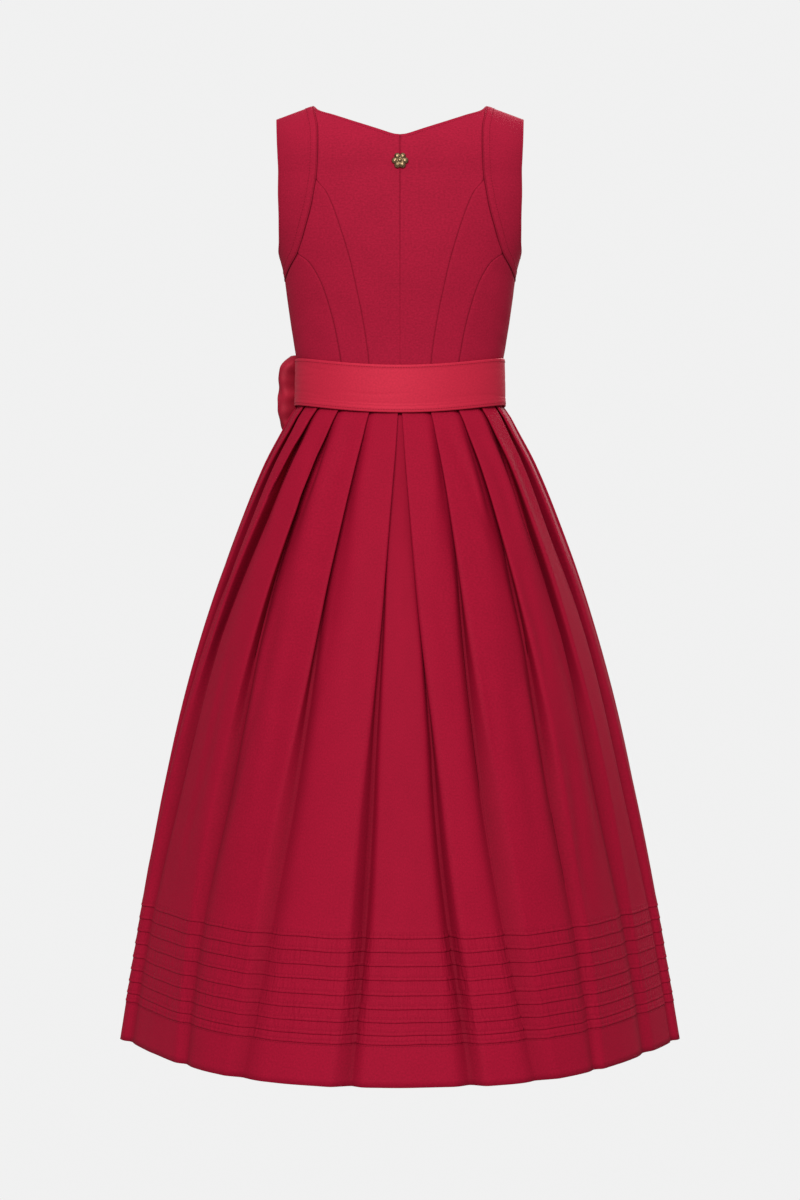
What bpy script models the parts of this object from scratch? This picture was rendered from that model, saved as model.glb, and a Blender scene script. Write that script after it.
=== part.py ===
"""A dirndl in its worn form, with nobody in it: fitted bodice, pleated skirt with sewn tucks, apron,
sash and bow. Metres, +Z up. The origin lies between the tops of the shoulders, the front faces -Y and
the wearer's left is +X. Angles run round the body from the centre back, towards the wearer's left."""

import math

import bmesh
import bpy
from mathutils import Vector

MM = 0.001

# Cloth, and the space that is left between two pieces at a seam
WALL = 1.2 * MM
SKIRT_WALL = 1.0 * MM
SEAM = 0.3 * MM
SKIRT_SEAM = 0.5 * MM
PIPING_RADIUS = 1.2 * MM
PIPED_SPACE = PIPING_RADIUS + 0.7 * MM
SEAM_START = 4.0 * MM
STRAP_START = 12.0 * MM

# Levels, measured down from the top of the shoulders
SHOULDER_ROUND = 0.090
SASH_TOP = -0.315
WAIST = -0.352
SASH_BOTTOM = -0.373
HEM = -1.163
APRON_HEM = -1.130
DIP_BACK = 0.015
DIP_FRONT = 0.008

# The bodice: half width, depth to the back, depth to the front, at each level
BODICE_FORM = (
    # level, half_width, back, front
    (-0.090, 0.1650, 0.0870, 0.0900),
    (-0.120, 0.1645, 0.0905, 0.1080),
    (-0.150, 0.1600, 0.0925, 0.1200),
    (-0.180, 0.1520, 0.0935, 0.1260),
    (-0.210, 0.1442, 0.0925, 0.1250),
    (-0.240, 0.1400, 0.0900, 0.1180),
    (-0.275, 0.1350, 0.0862, 0.1090),
    (-0.305, 0.1302, 0.0835, 0.1020),
    (-0.325, 0.1262, 0.0822, 0.0985),
    (-0.352, 0.1225, 0.0818, 0.0965),
    (-0.372, 0.1215, 0.0818, 0.0965),
)
SHOULDER_SLOPE = 0.35
NECK_POINT = 0.110
BODY_POWER = 0.87
# Metres for each radian at the centre seams, the side seams, the other seams and the sash
CENTRE_HALF = 0.165
SIDE_DEPTH = 0.09
SEAM_REACH = 0.12
SASH_REACH = 0.11

# Seams of one side of the bodice, as level and angle
BAND_BACK = (
    # level, degrees
    (0.000, 41.5),
    (-0.018, 39.4),
    (-0.034, 38.0),
    (-0.069, 37.7),
    (-0.102, 38.6),
    (-0.137, 42.4),
    (-0.168, 49.6),
    (-0.190, 57.8),
    (-0.203, 68.0),
    (-0.213, 79.0),
    (-0.2165, 90.0),
)
INNER_BACK = (
    # level, degrees
    (-0.102, 38.6),
    (-0.117, 33.3),
    (-0.142, 29.5),
    (-0.176, 26.5),
    (-0.216, 23.6),
    (-0.266, 20.0),
    (-0.311, 17.8),
    (-0.352, 17.2),
)
OUTER_BACK = (
    # level, degrees
    (-0.190, 57.8),
    (-0.201, 50.2),
    (-0.216, 45.6),
    (-0.232, 42.1),
    (-0.257, 38.8),
    (-0.286, 36.2),
    (-0.314, 35.0),
    (-0.352, 34.6),
)
ARMHOLE_BACK = (
    # level, degrees
    (0.000, 69.5),
    (-0.040, 67.0),
    (-0.065, 66.0),
    (-0.090, 65.2),
    (-0.140, 67.2),
    (-0.172, 76.0),
    (-0.186, 90.0),
)
BAND_FRONT = (
    # level, degrees
    (0.000, 138.5),
    (-0.034, 141.0),
    (-0.069, 143.0),
    (-0.104, 143.0),
    (-0.137, 139.5),
    (-0.168, 131.5),
    (-0.195, 120.0),
    (-0.211, 104.0),
    (-0.2165, 90.0),
)
PRINCESS_FRONT = (
    # level, degrees
    (-0.168, 131.5),
    (-0.185, 136.0),
    (-0.210, 140.5),
    (-0.245, 144.5),
    (-0.290, 147.3),
    (-0.352, 149.0),
)
ARMHOLE_FRONT = (
    # level, degrees
    (0.000, 110.5),
    (-0.040, 114.0),
    (-0.065, 117.0),
    (-0.100, 119.0),
    (-0.140, 115.5),
    (-0.172, 104.0),
    (-0.186, 90.0),
)
NECKLINE_BACK = (
    # level, degrees
    (-0.0490, 0.0),
    (-0.0487, 2.0),
    (-0.0465, 4.4),
    (-0.0422, 8.3),
    (-0.0352, 14.8),
    (-0.0279, 21.5),
    (-0.0197, 28.7),
    (-0.0098, 37.6),
    (0.000, 41.5),
)
NECKLINE_FRONT = (
    # level, degrees
    (-0.157, 180.0),
    (-0.153, 170.0),
    (-0.143, 158.0),
    (-0.120, 150.0),
    (-0.080, 147.0),
    (-0.040, 145.0),
    (0.000, 140.0),
)

# The skirt: its outer half width, its depth to the back and front as a share of that, how square it is,
# and how far its back is drawn straight towards the sides
SKIRT_FORM = (
    # level, half_width, back, front, power, flank
    (-0.352, 0.1240, 0.684, 0.790, 0.87, 0.00),
    (-0.373, 0.1288, 0.686, 0.790, 0.87, 0.00),
    (-0.384, 0.1368, 0.695, 0.790, 0.88, 0.00),
    (-0.402, 0.1466, 0.710, 0.780, 0.90, 0.00),
    (-0.446, 0.1700, 0.740, 0.775, 0.95, 0.00),
    (-0.509, 0.1963, 0.770, 0.775, 1.00, 0.06),
    (-0.602, 0.2306, 0.790, 0.780, 1.00, 0.28),
    (-0.727, 0.2675, 0.803, 0.785, 1.00, 0.50),
    (-0.852, 0.2963, 0.810, 0.787, 1.00, 0.66),
    (-0.977, 0.3200, 0.818, 0.790, 1.00, 0.78),
    (-1.163, 0.3505, 0.822, 0.790, 1.00, 0.82),
)
SKIRT_ROWS = (-0.352, -0.373, -0.384, -0.402, -0.446, -0.540, -0.680, -0.840, -0.985)

# Tucks above the hem: their lower edges, and how far each stands out
TUCK_EDGES = (-0.9960, -1.0117, -1.0274, -1.0433, -1.0603, -1.0757, -1.0904, -1.1047, -1.1150)
TUCK_STEP = 0.5 * MM
TUCK_RISE = 1.1 * MM

# Pleats, from the centre back outwards on each side: where the fold lies at the waist, at the knee and
# at the hem, how far it laps over its neighbour at the hem (a share of its width; below zero it is
# open), and how high it stands at the hips and at the tucks
PLEATS_LEFT = (
    # waist_deg, knee_deg, hem_deg, lap at the hem, rise at the hips, rise at the tucks
    (0.8, 6.0, 12.5, -0.26, 0.0110, 0.0150),
    (16.5, 24.0, 35.0, -0.14, 0.0140, 0.0080),
    (35.0, 45.5, 49.5, -0.14, 0.0165, 0.0065),
    (50.5, 69.0, 79.0, -0.16, 0.0180, 0.0055),
    (67.0, 81.0, 94.0, -0.24, 0.0160, 0.0030),
    (84.0, 95.5, 106.0, -0.24, 0.0150, 0.0040),
    (102.0, 108.5, 118.0, -0.32, 0.0150, 0.0050),
    (120.5, 123.0, 131.0, -0.30, 0.0130, 0.0060),
    (139.0, 140.5, 146.0, -0.34, 0.0130, 0.0065),
    (158.0, 158.5, 162.0, -0.30, 0.0120, 0.0055),
)
PLEATS_RIGHT = (
    # waist_deg, knee_deg, hem_deg, lap at the hem, rise at the hips, rise at the tucks
    (0.8, 6.4, 16.0, -0.16, 0.0130, 0.0160),
    (17.0, 20.0, 31.0, -0.28, 0.0150, 0.0085),
    (33.5, 39.0, 43.0, -0.14, 0.0165, 0.0070),
    (51.0, 57.0, 61.5, -0.16, 0.0185, 0.0065),
    (68.5, 74.0, 82.0, -0.22, 0.0170, 0.0040),
    (86.0, 90.5, 98.5, -0.30, 0.0150, 0.0030),
    (104.5, 105.5, 112.0, -0.32, 0.0150, 0.0050),
    (122.5, 123.5, 129.0, -0.34, 0.0130, 0.0060),
    (140.5, 141.0, 146.0, -0.30, 0.0130, 0.0065),
    (158.0, 158.5, 162.0, -0.32, 0.0120, 0.0055),
)
KNEE = -0.650
LAP_AT_WAIST = 0.80
RISE_AT_WAIST = 2.8 * MM
OPEN_FROM = 0.34
OPEN_OVER = 0.44
CORNER = 2.2 * MM
FOLD_GAP = 2.2 * MM
VALLEY = 1.0 * MM
PLEAT_COURSE = (
    # level, share of the change from the waist's lap to the hem's, of the rise at the hips, at the tucks
    (-0.352, 0.00, 0.00, 0.00),
    (-0.384, 0.20, 0.22, 0.00),
    (-0.446, 0.45, 0.75, 0.00),
    (-0.540, 0.66, 1.00, 0.00),
    (-0.680, 0.86, 0.88, 0.12),
    (-0.840, 1.00, 0.50, 0.50),
    (-0.985, 1.00, 0.00, 1.00),
    (-1.163, 1.00, 0.00, 0.50),
)
# The pleat, counted from the centre back, whose inner fold hides a seam of the skirt
SKIRT_SEAMS = (("right", 8), ("right", 1), ("left", 5))

# Sash, waistband and apron
SASH_FORM = (
    # share of height, half_width, back, front
    (0.0, 0.1302, 0.0862, 0.1045),
    (0.5, 0.1306, 0.0880, 0.1052),
    (1.0, 0.1312, 0.0902, 0.1060),
)
SASH_SEAM_RIGHT = -128.0
KNOT_ANGLE = 138.0
APRON_EDGE_WAIST = 128.0
APRON_EDGE_HEM = 121.0
APRON_CLEAR = 2.6 * MM
APRON_WAVE = 5.0 * MM
APRON_GATHERS = 9

# Bow
KNOT_HALF = (0.015, 0.012, 0.021)
KNOT_LEVEL = -0.3450
LOOP_LENGTH = 0.072
LOOP_PLAN = (
    # share of length, distance out from the loop's own middle
    (0.23, 0.0030),
    (0.38, 0.0062),
    (0.58, 0.0090),
    (0.78, 0.0098),
    (0.92, 0.0080),
    (0.99, 0.0042),
    (1.00, 0.0000),
)
LOOP_ROOT_HEIGHT = 0.026
LOOP_END_HEIGHT = 0.095
LOOP_CREASE = 1.6 * MM
LOOP_DROOP = 6.0 * MM
TAILS = (
    # name, top_deg, end_deg, top_level, end_level, out
    ("bow_tail_back", 139.0, 131.0, -0.3592, -0.700, 0.0020),
    ("bow_tail_front", 137.5, 147.0, -0.3620, -0.745, 0.0075),
)
TAIL_TOP_WIDTH = 0.020
TAIL_WIDTH = 0.057
TAIL_ROOT = 8.5 * MM
TAIL_WAVE = 1.5 * MM
TAIL_SLANT = 0.35

# Placket, buttons and pin
PLACKET_HALF = 0.011
PLACKET_TOP = -0.1585
PLACKET_BOTTOM = -0.3212
BUTTONS = 6
BUTTON_TOP = -0.176
BUTTON_SPACING = 0.0265
BUTTON_RADIUS = 5.5 * MM
BUTTON_HEIGHT = 3.0 * MM
PIN_LEVEL = -0.0830
PIN_RADIUS = 0.0105
PIN_PETALS = 6
PIN_RINGS = (
    # share of radius, height
    (0.00, 3.6 * MM),
    (0.16, 3.3 * MM),
    (0.27, 2.0 * MM),
    (0.40, 2.6 * MM),
    (0.72, 2.8 * MM),
    (0.94, 1.6 * MM),
    (0.98, 0.0 * MM),
)


def clear_scene():
    for thing in list(bpy.data.objects):
        bpy.data.objects.remove(thing, do_unlink=True)


def new_material(name, colour, roughness, metallic=0.0):
    material = bpy.data.materials.new(name)
    material.use_nodes = True
    shader = material.node_tree.nodes["Principled BSDF"]
    shader.inputs["Base Color"].default_value = (*colour, 1.0)
    shader.inputs["Roughness"].default_value = roughness
    shader.inputs["Metallic"].default_value = metallic
    return material


def mix(low, high, share):
    return low + (high - low) * share


def ease(share):
    share = min(1.0, max(0.0, share))
    return share * share * (3.0 - 2.0 * share)


def read_curve(rows, at, column, key=0):
    """The smooth curve through one column of a table, read at a value of its key column."""
    rows = sorted(rows, key=lambda row: row[key])
    at = min(max(at, rows[0][key]), rows[-1][key])
    i = 0
    while i < len(rows) - 2 and at > rows[i + 1][key]:
        i += 1

    def slope(j):
        low = max(j - 1, 0)
        high = min(j + 1, len(rows) - 1)
        return (rows[high][column] - rows[low][column]) / (rows[high][key] - rows[low][key])

    span = rows[i + 1][key] - rows[i][key]
    t = (at - rows[i][key]) / span
    start, end = rows[i][column], rows[i + 1][column]
    leaving = slope(i) * span - (end - start)
    arriving = slope(i + 1) * span - (end - start)
    return mix(start, end, t) + t * (1 - t) * ((1 - t) * leaving - t * arriving)


def power_cos(angle, power):
    c = math.cos(angle)
    return math.copysign(abs(c) ** power, c)


def dip(angle):
    """How far the waist line hangs below its level at the sides."""
    c = math.cos(angle)
    return (DIP_BACK if c > 0 else DIP_FRONT) * c * c


def down(level):
    """Distance down the bodice from the top of the shoulder, over its rounded top."""
    if level > -SHOULDER_ROUND:
        return SHOULDER_ROUND * math.acos(1.0 + level / SHOULDER_ROUND)
    return SHOULDER_ROUND * math.pi / 2 - SHOULDER_ROUND - level


def bodice_point(angle, distance):
    quarter = SHOULDER_ROUND * math.pi / 2
    if distance < quarter:
        turn = distance / SHOULDER_ROUND
        level = -SHOULDER_ROUND * (1.0 - math.cos(turn))
        share = math.sin(turn)
    else:
        level = -SHOULDER_ROUND - (distance - quarter)
        share = 1.0
    half = read_curve(BODICE_FORM, level, 1)
    depth = read_curve(BODICE_FORM, level, 2 if math.cos(angle) > 0 else 3) * share
    x = half * math.sin(angle)
    fall = SHOULDER_SLOPE * max(0.0, abs(x) - NECK_POINT) * ease(1.0 + level / SHOULDER_ROUND)
    return Vector((x, depth * power_cos(angle, BODY_POWER), level - fall))


def bodice_frame(angle, distance):
    """A point of the bodice, with its outward normal."""
    step = 0.5 * MM
    across = bodice_point(angle + step / 0.1, distance) - bodice_point(angle - step / 0.1, distance)
    along = bodice_point(angle, distance + step) - bodice_point(angle, max(distance - step, 0.0))
    return bodice_point(angle, distance), along.cross(across).normalized() * -1.0


def seam_nodes(table, count):
    """Points of a seam, as angle and distance down, evenly spaced along it."""
    rows = [(math.radians(row[1]), down(row[0])) for row in table]
    lengths = [0.0]
    for (a0, d0), (a1, d1) in zip(rows, rows[1:]):
        lengths.append(lengths[-1] + math.hypot((a1 - a0) * SEAM_REACH, d1 - d0))
    keyed = [(lengths[i], rows[i][0], rows[i][1]) for i in range(len(rows))]
    ends = [lengths[-1] * i / (count - 1) for i in range(count)]
    return [(read_curve(keyed, s, 1), read_curve(keyed, s, 2)) for s in ends]


def cut_seam(table, level):
    """The part of a seam down to a level that is one of its rows, and the part below it."""
    split = [i for i, row in enumerate(table) if abs(row[0] - level) < MM / 10][0]
    return table[: split + 1], table[split:]


def trimmed(nodes, length):
    """A seam's nodes with the first one moved along, clear of the piped seam that it starts from."""
    (a0, d0), (a1, d1) = nodes[:2]
    share = length / math.hypot((a1 - a0) * SEAM_REACH, d1 - d0)
    return [(mix(a0, a1, share), mix(d0, d1, share))] + nodes[1:]


def moved_seam(nodes, space):
    """A seam's nodes moved sideways on the cloth; a positive space moves towards greater angles."""
    moved = []
    for i, (angle, distance) in enumerate(nodes):
        a0, d0 = nodes[max(i - 1, 0)]
        a1, d1 = nodes[min(i + 1, len(nodes) - 1)]
        middle = bodice_point(angle, distance)
        reach = (bodice_point(angle + 0.01, distance) - middle).length / 0.01
        reach = max(reach, 0.03)
        run, fall = (a1 - a0) * reach, d1 - d0
        size = math.hypot(run, fall)
        moved.append((angle + space * fall / size / reach, distance - space * run / size))
    return moved


def patch(top, bottom, left, right):
    """A grid of surface coordinates between four seams, rows from the top down."""
    columns, rows = len(top), len(left)
    grid = []
    for r in range(rows):
        v = r / (rows - 1)
        line = []
        for c in range(columns):
            u = c / (columns - 1)
            line.append(tuple(
                (1 - v) * top[c][k] + v * bottom[c][k] + (1 - u) * left[r][k] + u * right[r][k]
                - (1 - u) * (1 - v) * left[0][k] - u * (1 - v) * right[0][k]
                - (1 - u) * v * left[-1][k] - u * v * right[-1][k]
                for k in range(2)
            ))
        grid.append(line)
    return grid


def even(start, end, count):
    return [
        (mix(start[0], end[0], i / (count - 1)), mix(start[1], end[1], i / (count - 1)))
        for i in range(count)
    ]


def waist_node(angle):
    return angle, down(WAIST) + dip(angle) - SEAM / 2


def finish_mesh(name, points, faces, material, collection, flip=False):
    mesh = bpy.data.meshes.new(name)
    mesh.from_pydata([tuple(p) for p in points], [], faces)
    if flip:
        mesh.flip_normals()
    mesh.materials.append(material)
    mesh.shade_smooth()
    mesh.set_sharp_from_angle(angle=math.radians(40))
    thing = bpy.data.objects.new(name, mesh)
    collection.objects.link(thing)
    return thing


def cloth(name, grid, material, collection, wall=WALL):
    """A sheet of cloth: rows of points from the top down, each in the order of growing angle."""
    width = len(grid[0])
    points = [p for row in grid for p in row]
    faces = []
    for r in range(len(grid) - 1):
        for c in range(width - 1):
            i = r * width + c
            faces.append((i, i + 1, i + width + 1, i + width))
    thing = finish_mesh(name, points, faces, material, collection)
    solid = thing.modifiers.new("wall", "SOLIDIFY")
    solid.thickness = wall
    solid.offset = 0.0
    return thing


def mirrored(grid):
    return [[Vector((-p.x, p.y, p.z)) for p in reversed(row)] for row in grid]


def stitch_strips(first, second, points, faces):
    """Faces between two lines of numbered points that run down side by side but differ in count."""
    i, j = 0, 0
    while i < len(first) - 1 or j < len(second) - 1:
        ahead = i < len(first) - 1
        if ahead and j < len(second) - 1:
            ahead = points[first[i + 1]].z > points[second[j + 1]].z
        if ahead:
            faces.append((first[i], first[i + 1], second[j]))
            i += 1
        else:
            faces.append((first[i], second[j + 1], second[j]))
            j += 1


def walled(name, outside, inside, material, collection):
    """A closed wall between two grids of points, which may differ in their number of rows."""
    width = len(outside[0])
    points, faces, numbers = [], [], []
    for grid in (outside, inside):
        numbers.append([[len(points) + r * width + c for c in range(width)] for r in range(len(grid))])
        points.extend(p for row in grid for p in row)
    for grid, turned in zip(numbers, (False, True)):
        for above, below in zip(grid, grid[1:]):
            for c in range(width - 1):
                a, b, d, e = above[c], above[c + 1], below[c + 1], below[c]
                if (points[a] - points[d]).length <= (points[b] - points[e]).length:
                    pair = ((a, b, d), (a, d, e))
                else:
                    pair = ((b, d, e), (b, e, a))
                faces.extend(tuple(reversed(face)) if turned else face for face in pair)
    outer, inner = numbers
    for c in range(width - 1):
        faces.append((inner[0][c], inner[0][c + 1], outer[0][c + 1], outer[0][c]))
        faces.append((outer[-1][c], outer[-1][c + 1], inner[-1][c + 1], inner[-1][c]))
    stitch_strips([row[0] for row in outer], [row[0] for row in inner], points, faces)
    stitch_strips([row[-1] for row in inner], [row[-1] for row in outer], points, faces)
    return finish_mesh(name, points, faces, material, collection)


def both_sides(name, coordinates, material, collection):
    """A panel of the bodice and its mirror image, with the walls along the form's own normals."""
    frames = [[bodice_frame(angle, distance) for angle, distance in row] for row in coordinates]
    outside = [[p + normal * WALL / 2 for p, normal in row] for row in frames]
    inside = [[p - normal * WALL / 2 for p, normal in row] for row in frames]
    walled(name + "_left", outside, inside, material, collection)
    walled(name + "_right", mirrored(outside), mirrored(inside), material, collection)


def make_bodice(material, collection):
    """Five panels a side. Neighbours share the nodes of their seam, so their edges stay parallel."""
    plain = SEAM / 2
    upper, rest = cut_seam(BAND_BACK, INNER_BACK[0][0])
    middle, lower = cut_seam(rest, OUTER_BACK[0][0])

    # Back centre panel: from the centre back to the band and the inner seam
    band_top = moved_seam(seam_nodes(upper, 6), -PIPED_SPACE)
    inner = trimmed(seam_nodes(INNER_BACK, 10), SEAM_START)
    right = band_top + moved_seam(inner, -plain)
    right[-1] = waist_node(right[-1][0])
    columns = 5
    edge = plain / CENTRE_HALF
    neck = seam_nodes(NECKLINE_BACK, columns)
    left = even((edge, neck[0][1]), waist_node(edge), len(right))
    neck[0], neck[-1] = left[0], right[0]
    bottom = [waist_node(mix(left[-1][0], right[-1][0], c / (columns - 1))) for c in range(columns)]
    both_sides("back_centre", patch(neck, bottom, left, right), material, collection)

    # Back side panel: it narrows to a point where the inner seam leaves the band
    left = moved_seam(inner, plain)
    left[-1] = waist_node(left[-1][0])
    outer = trimmed(seam_nodes(OUTER_BACK, 6), SEAM_START)
    right = moved_seam(trimmed(seam_nodes(middle, 4), SEAM_START), -PIPED_SPACE) + moved_seam(outer, -plain)
    right[-1] = waist_node(right[-1][0])
    columns = 4
    top = even(left[0], right[0], columns)
    bottom = [waist_node(mix(left[-1][0], right[-1][0], c / (columns - 1))) for c in range(columns)]
    both_sides("back_side", patch(top, bottom, left, right), material, collection)

    # Side back panel: from the outer seam to the side seam under the arm
    left = moved_seam(outer, plain)
    left[-1] = waist_node(left[-1][0])
    edge = math.pi / 2 - plain / SIDE_DEPTH
    band = moved_seam(seam_nodes(lower, 5), -PIPED_SPACE)
    right = even((edge, band[-1][1]), waist_node(edge), len(left))
    columns = 5
    top = seam_nodes(lower, 9)
    top = moved_seam(top, -PIPED_SPACE)[::2]
    top[0], top[-1] = left[0], right[0]
    bottom = [waist_node(mix(left[-1][0], right[-1][0], c / (columns - 1))) for c in range(columns)]
    both_sides("side_back", patch(top, bottom, left, right), material, collection)

    # Front side panel: from the side seam to the front princess seam
    upper, lower = cut_seam(BAND_FRONT, PRINCESS_FRONT[0][0])
    princess = trimmed(seam_nodes(PRINCESS_FRONT, 8), SEAM_START)
    right = moved_seam(princess, -plain)
    right[-1] = waist_node(right[-1][0])
    edge = math.pi / 2 + plain / SIDE_DEPTH
    under = list(reversed(moved_seam(seam_nodes(lower, 6), PIPED_SPACE)))
    left = even((edge, under[0][1]), waist_node(edge), len(right))
    top = under
    top[0], top[-1] = left[0], right[0]
    columns = len(top)
    bottom = [waist_node(mix(left[-1][0], right[-1][0], c / (columns - 1))) for c in range(columns)]
    both_sides("front_side", patch(top, bottom, left, right), material, collection)

    # Front centre panel: the band and the princess seam on one side, the neckline and the centre front
    # on the other
    band = moved_seam(trimmed(seam_nodes(upper, 9), STRAP_START), PIPED_SPACE)
    left = band + moved_seam(princess, plain)
    left[-1] = waist_node(left[-1][0])
    edge = math.pi - plain / CENTRE_HALF
    neck = trimmed(list(reversed(seam_nodes(NECKLINE_FRONT, 10))), STRAP_START)
    neck[-1] = (edge, neck[-1][1])
    centre = even(neck[-1], waist_node(edge), len(left) - len(neck) + 1)
    right = neck + centre[1:]
    both_sides("front_centre", [even(a, b, 5) for a, b in zip(left, right)], material, collection)


def make_bands(material, collection):
    """The wide bands round the armholes, from the shoulder seam to the seam under the arm."""
    rows, columns = 15, 4
    for name, inside, armhole, sign in (
        ("band_back", BAND_BACK, ARMHOLE_BACK, 1.0),
        ("band_front", BAND_FRONT, ARMHOLE_FRONT, -1.0),
    ):
        inner = moved_seam(seam_nodes(inside, rows), sign * PIPED_SPACE)
        outer = seam_nodes(armhole, rows)
        side = math.pi / 2 - sign * SEAM / 2 / SIDE_DEPTH
        inner[0] = (inner[0][0], SEAM / 2)
        outer[0] = (outer[0][0], SEAM / 2)
        inner[-1] = (side, inner[-1][1])
        outer[-1] = (side, outer[-1][1])
        grid = []
        for near, far in zip(inner, outer):
            line = even(near, far, columns)
            grid.append(line if sign > 0 else list(reversed(line)))
        both_sides(name, grid, material, collection)


def make_piping(material, collection):
    """The corded piping between bands and panels: one cord a side, from back to front under the arm."""
    back = seam_nodes(BAND_BACK, 16)
    front = list(reversed(seam_nodes(BAND_FRONT, 16)))
    route = [bodice_point(a, max(d, SEAM)) for a, d in back + front[1:]]
    for side, sign in (("left", 1.0), ("right", -1.0)):
        curve = bpy.data.curves.new("piping_" + side, "CURVE")
        curve.dimensions = "3D"
        curve.bevel_depth = PIPING_RADIUS
        curve.bevel_resolution = 1
        curve.use_fill_caps = True
        spline = curve.splines.new("POLY")
        spline.points.add(len(route) - 1)
        for node, p in zip(spline.points, route):
            node.co = (sign * p.x, p.y, p.z, 1.0)
        curve.materials.append(material)
        collection.objects.link(bpy.data.objects.new("piping_" + side, curve))


def skirt_share(level):
    return (WAIST - level) / (WAIST - HEM)


def skirt_flank(angle, level):
    """How far in the back lies at a point, as a share of its depth, and how steeply it runs there: both
    are 1 where the form is a plain oval."""
    drawn = read_curve(SKIRT_FORM, level, 5)
    c = math.cos(angle)
    if c <= 0:
        return 1.0, 1.0
    inward = 1.0 - drawn * math.cos(math.pi * c / 2) ** 2
    return inward, inward + drawn * c * math.pi / 2 * math.sin(math.pi * c)


def skirt_point(angle, level, out):
    """A point of the skirt's smooth outer form, moved out along its horizontal normal."""
    half = read_curve(SKIRT_FORM, level, 1)
    depth = half * read_curve(SKIRT_FORM, level, 2 if math.cos(angle) > 0 else 3)
    power = read_curve(SKIRT_FORM, level, 4)
    inward, slope = skirt_flank(angle, level)
    x, y = half * math.sin(angle), depth * power_cos(angle, power) * inward
    across, deep = math.sin(angle) / half * slope, power_cos(angle, 2.0 - power) / depth
    normal = Vector((across, deep, 0.0)).normalized()
    fade = min(1.0, max(0.0, (level - HEM) / (SASH_BOTTOM - HEM)))
    return Vector((x, y, level - dip(angle) * fade)) + normal * out


def reach(angle, level):
    """Metres along the skirt for each radian of angle."""
    half = read_curve(SKIRT_FORM, level, 1)
    depth = half * read_curve(SKIRT_FORM, level, 2 if math.cos(angle) > 0 else 3)
    return math.hypot(half * math.cos(angle), depth * math.sin(angle) * skirt_flank(angle, level)[1])


def fold_angle(row, level):
    """Where a pleat's fold lies at a level: a curve through its waist, knee and hem."""
    v = skirt_share(level)
    k = skirt_share(KNEE)
    waist, knee, hem = (math.radians(row[i]) for i in range(3))
    return (
        waist * (1 - v) * (k - v) / k
        + knee * v * (1 - v) / (k * (1 - k))
        + hem * v * (v - k) / (1 - k)
    )


def pleat_course(level, column):
    """One column of the pleats' course at a level: a smooth curve, and a straight line over the tucks."""
    tucked, hem = PLEAT_COURSE[-2:]
    if level < tucked[0]:
        return mix(tucked[column], hem[column], (tucked[0] - level) / (tucked[0] - hem[0]))
    return read_curve(PLEAT_COURSE[:-1], level, column)


def pleat_rise(row, level):
    """How far a fold stands above the cloth beside it: little at the waist, more below."""
    hips, tucks = pleat_course(level, 2), pleat_course(level, 3)
    return RISE_AT_WAIST * (1.0 - hips - tucks) + row[4] * hips + row[5] * tucks


def pleat_section(pleats, level, seams):
    """One side's section through the pleats at a level, from the centre back to the centre front.

    Each pleat laps over its inner neighbour. Its cloth runs from its fold out under the next pleat,
    turns back there, and comes out again as the next fold. Towards the hem the laps open into waves.
    Gives angle and height over the smooth form for each point, and the places where a seam divides
    the cloth."""
    folds = [fold_angle(row, level) for row in pleats]
    widths = [b - a for a, b in zip(folds, folds[1:] + [math.pi])]
    rises = [pleat_rise(row, level) for row in pleats]
    points, breaks = [], []
    for k, (row, fold, rise) in enumerate(zip(pleats, folds, rises)):
        before = widths[k - 1] if k else fold
        lap = mix(LAP_AT_WAIST, row[3], pleat_course(level, 1))
        open_ = ease((OPEN_FROM - lap) / OPEN_OVER)
        corner = CORNER * open_ / reach(fold, level)
        gap = mix(min(rise / 2, FOLD_GAP), 0.12 * rise, open_)
        bottom = -rise * (1.0 + max(lap, 0.0)) - VALLEY * open_
        turn = fold + lap * (widths[k] if lap > 0 else before)
        if k:
            swell = folds[k - 1] + before * mix(0.78, 0.38, open_)
            points.append((swell, -rises[k - 1] * mix(0.24, 0.08, open_)))
        else:
            points.append((0.0, -rise * mix(1.0, 0.30, open_)))
        base = fold + (min(lap, 0.0) - 0.18 * open_) * before
        points.append((base, -rise * mix(1.0, 0.30, open_)))
        points.append((turn - corner, bottom))
        if k in seams:
            nose = turn + gap / 2 / reach(turn, level) * (1 - open_)
            run, climb = 2 * corner * reach(turn, level), gap
            share = SKIRT_SEAM / 2 / math.hypot(run, climb)
            aside, above = share * run / reach(turn, level), share * climb
            points.append((nose - aside, bottom + gap / 2 - above))
            breaks.append(len(points))
            points.append((nose + aside, bottom + gap / 2 + above))
        points.append((turn + corner, bottom + gap))
        points.append((fold - corner, -gap))
        points.append((fold + corner, 0.0))
    points.append((folds[-1] + 0.5 * widths[-1], 0.0))
    points.append((math.pi, 0.0))
    return points, breaks


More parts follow.
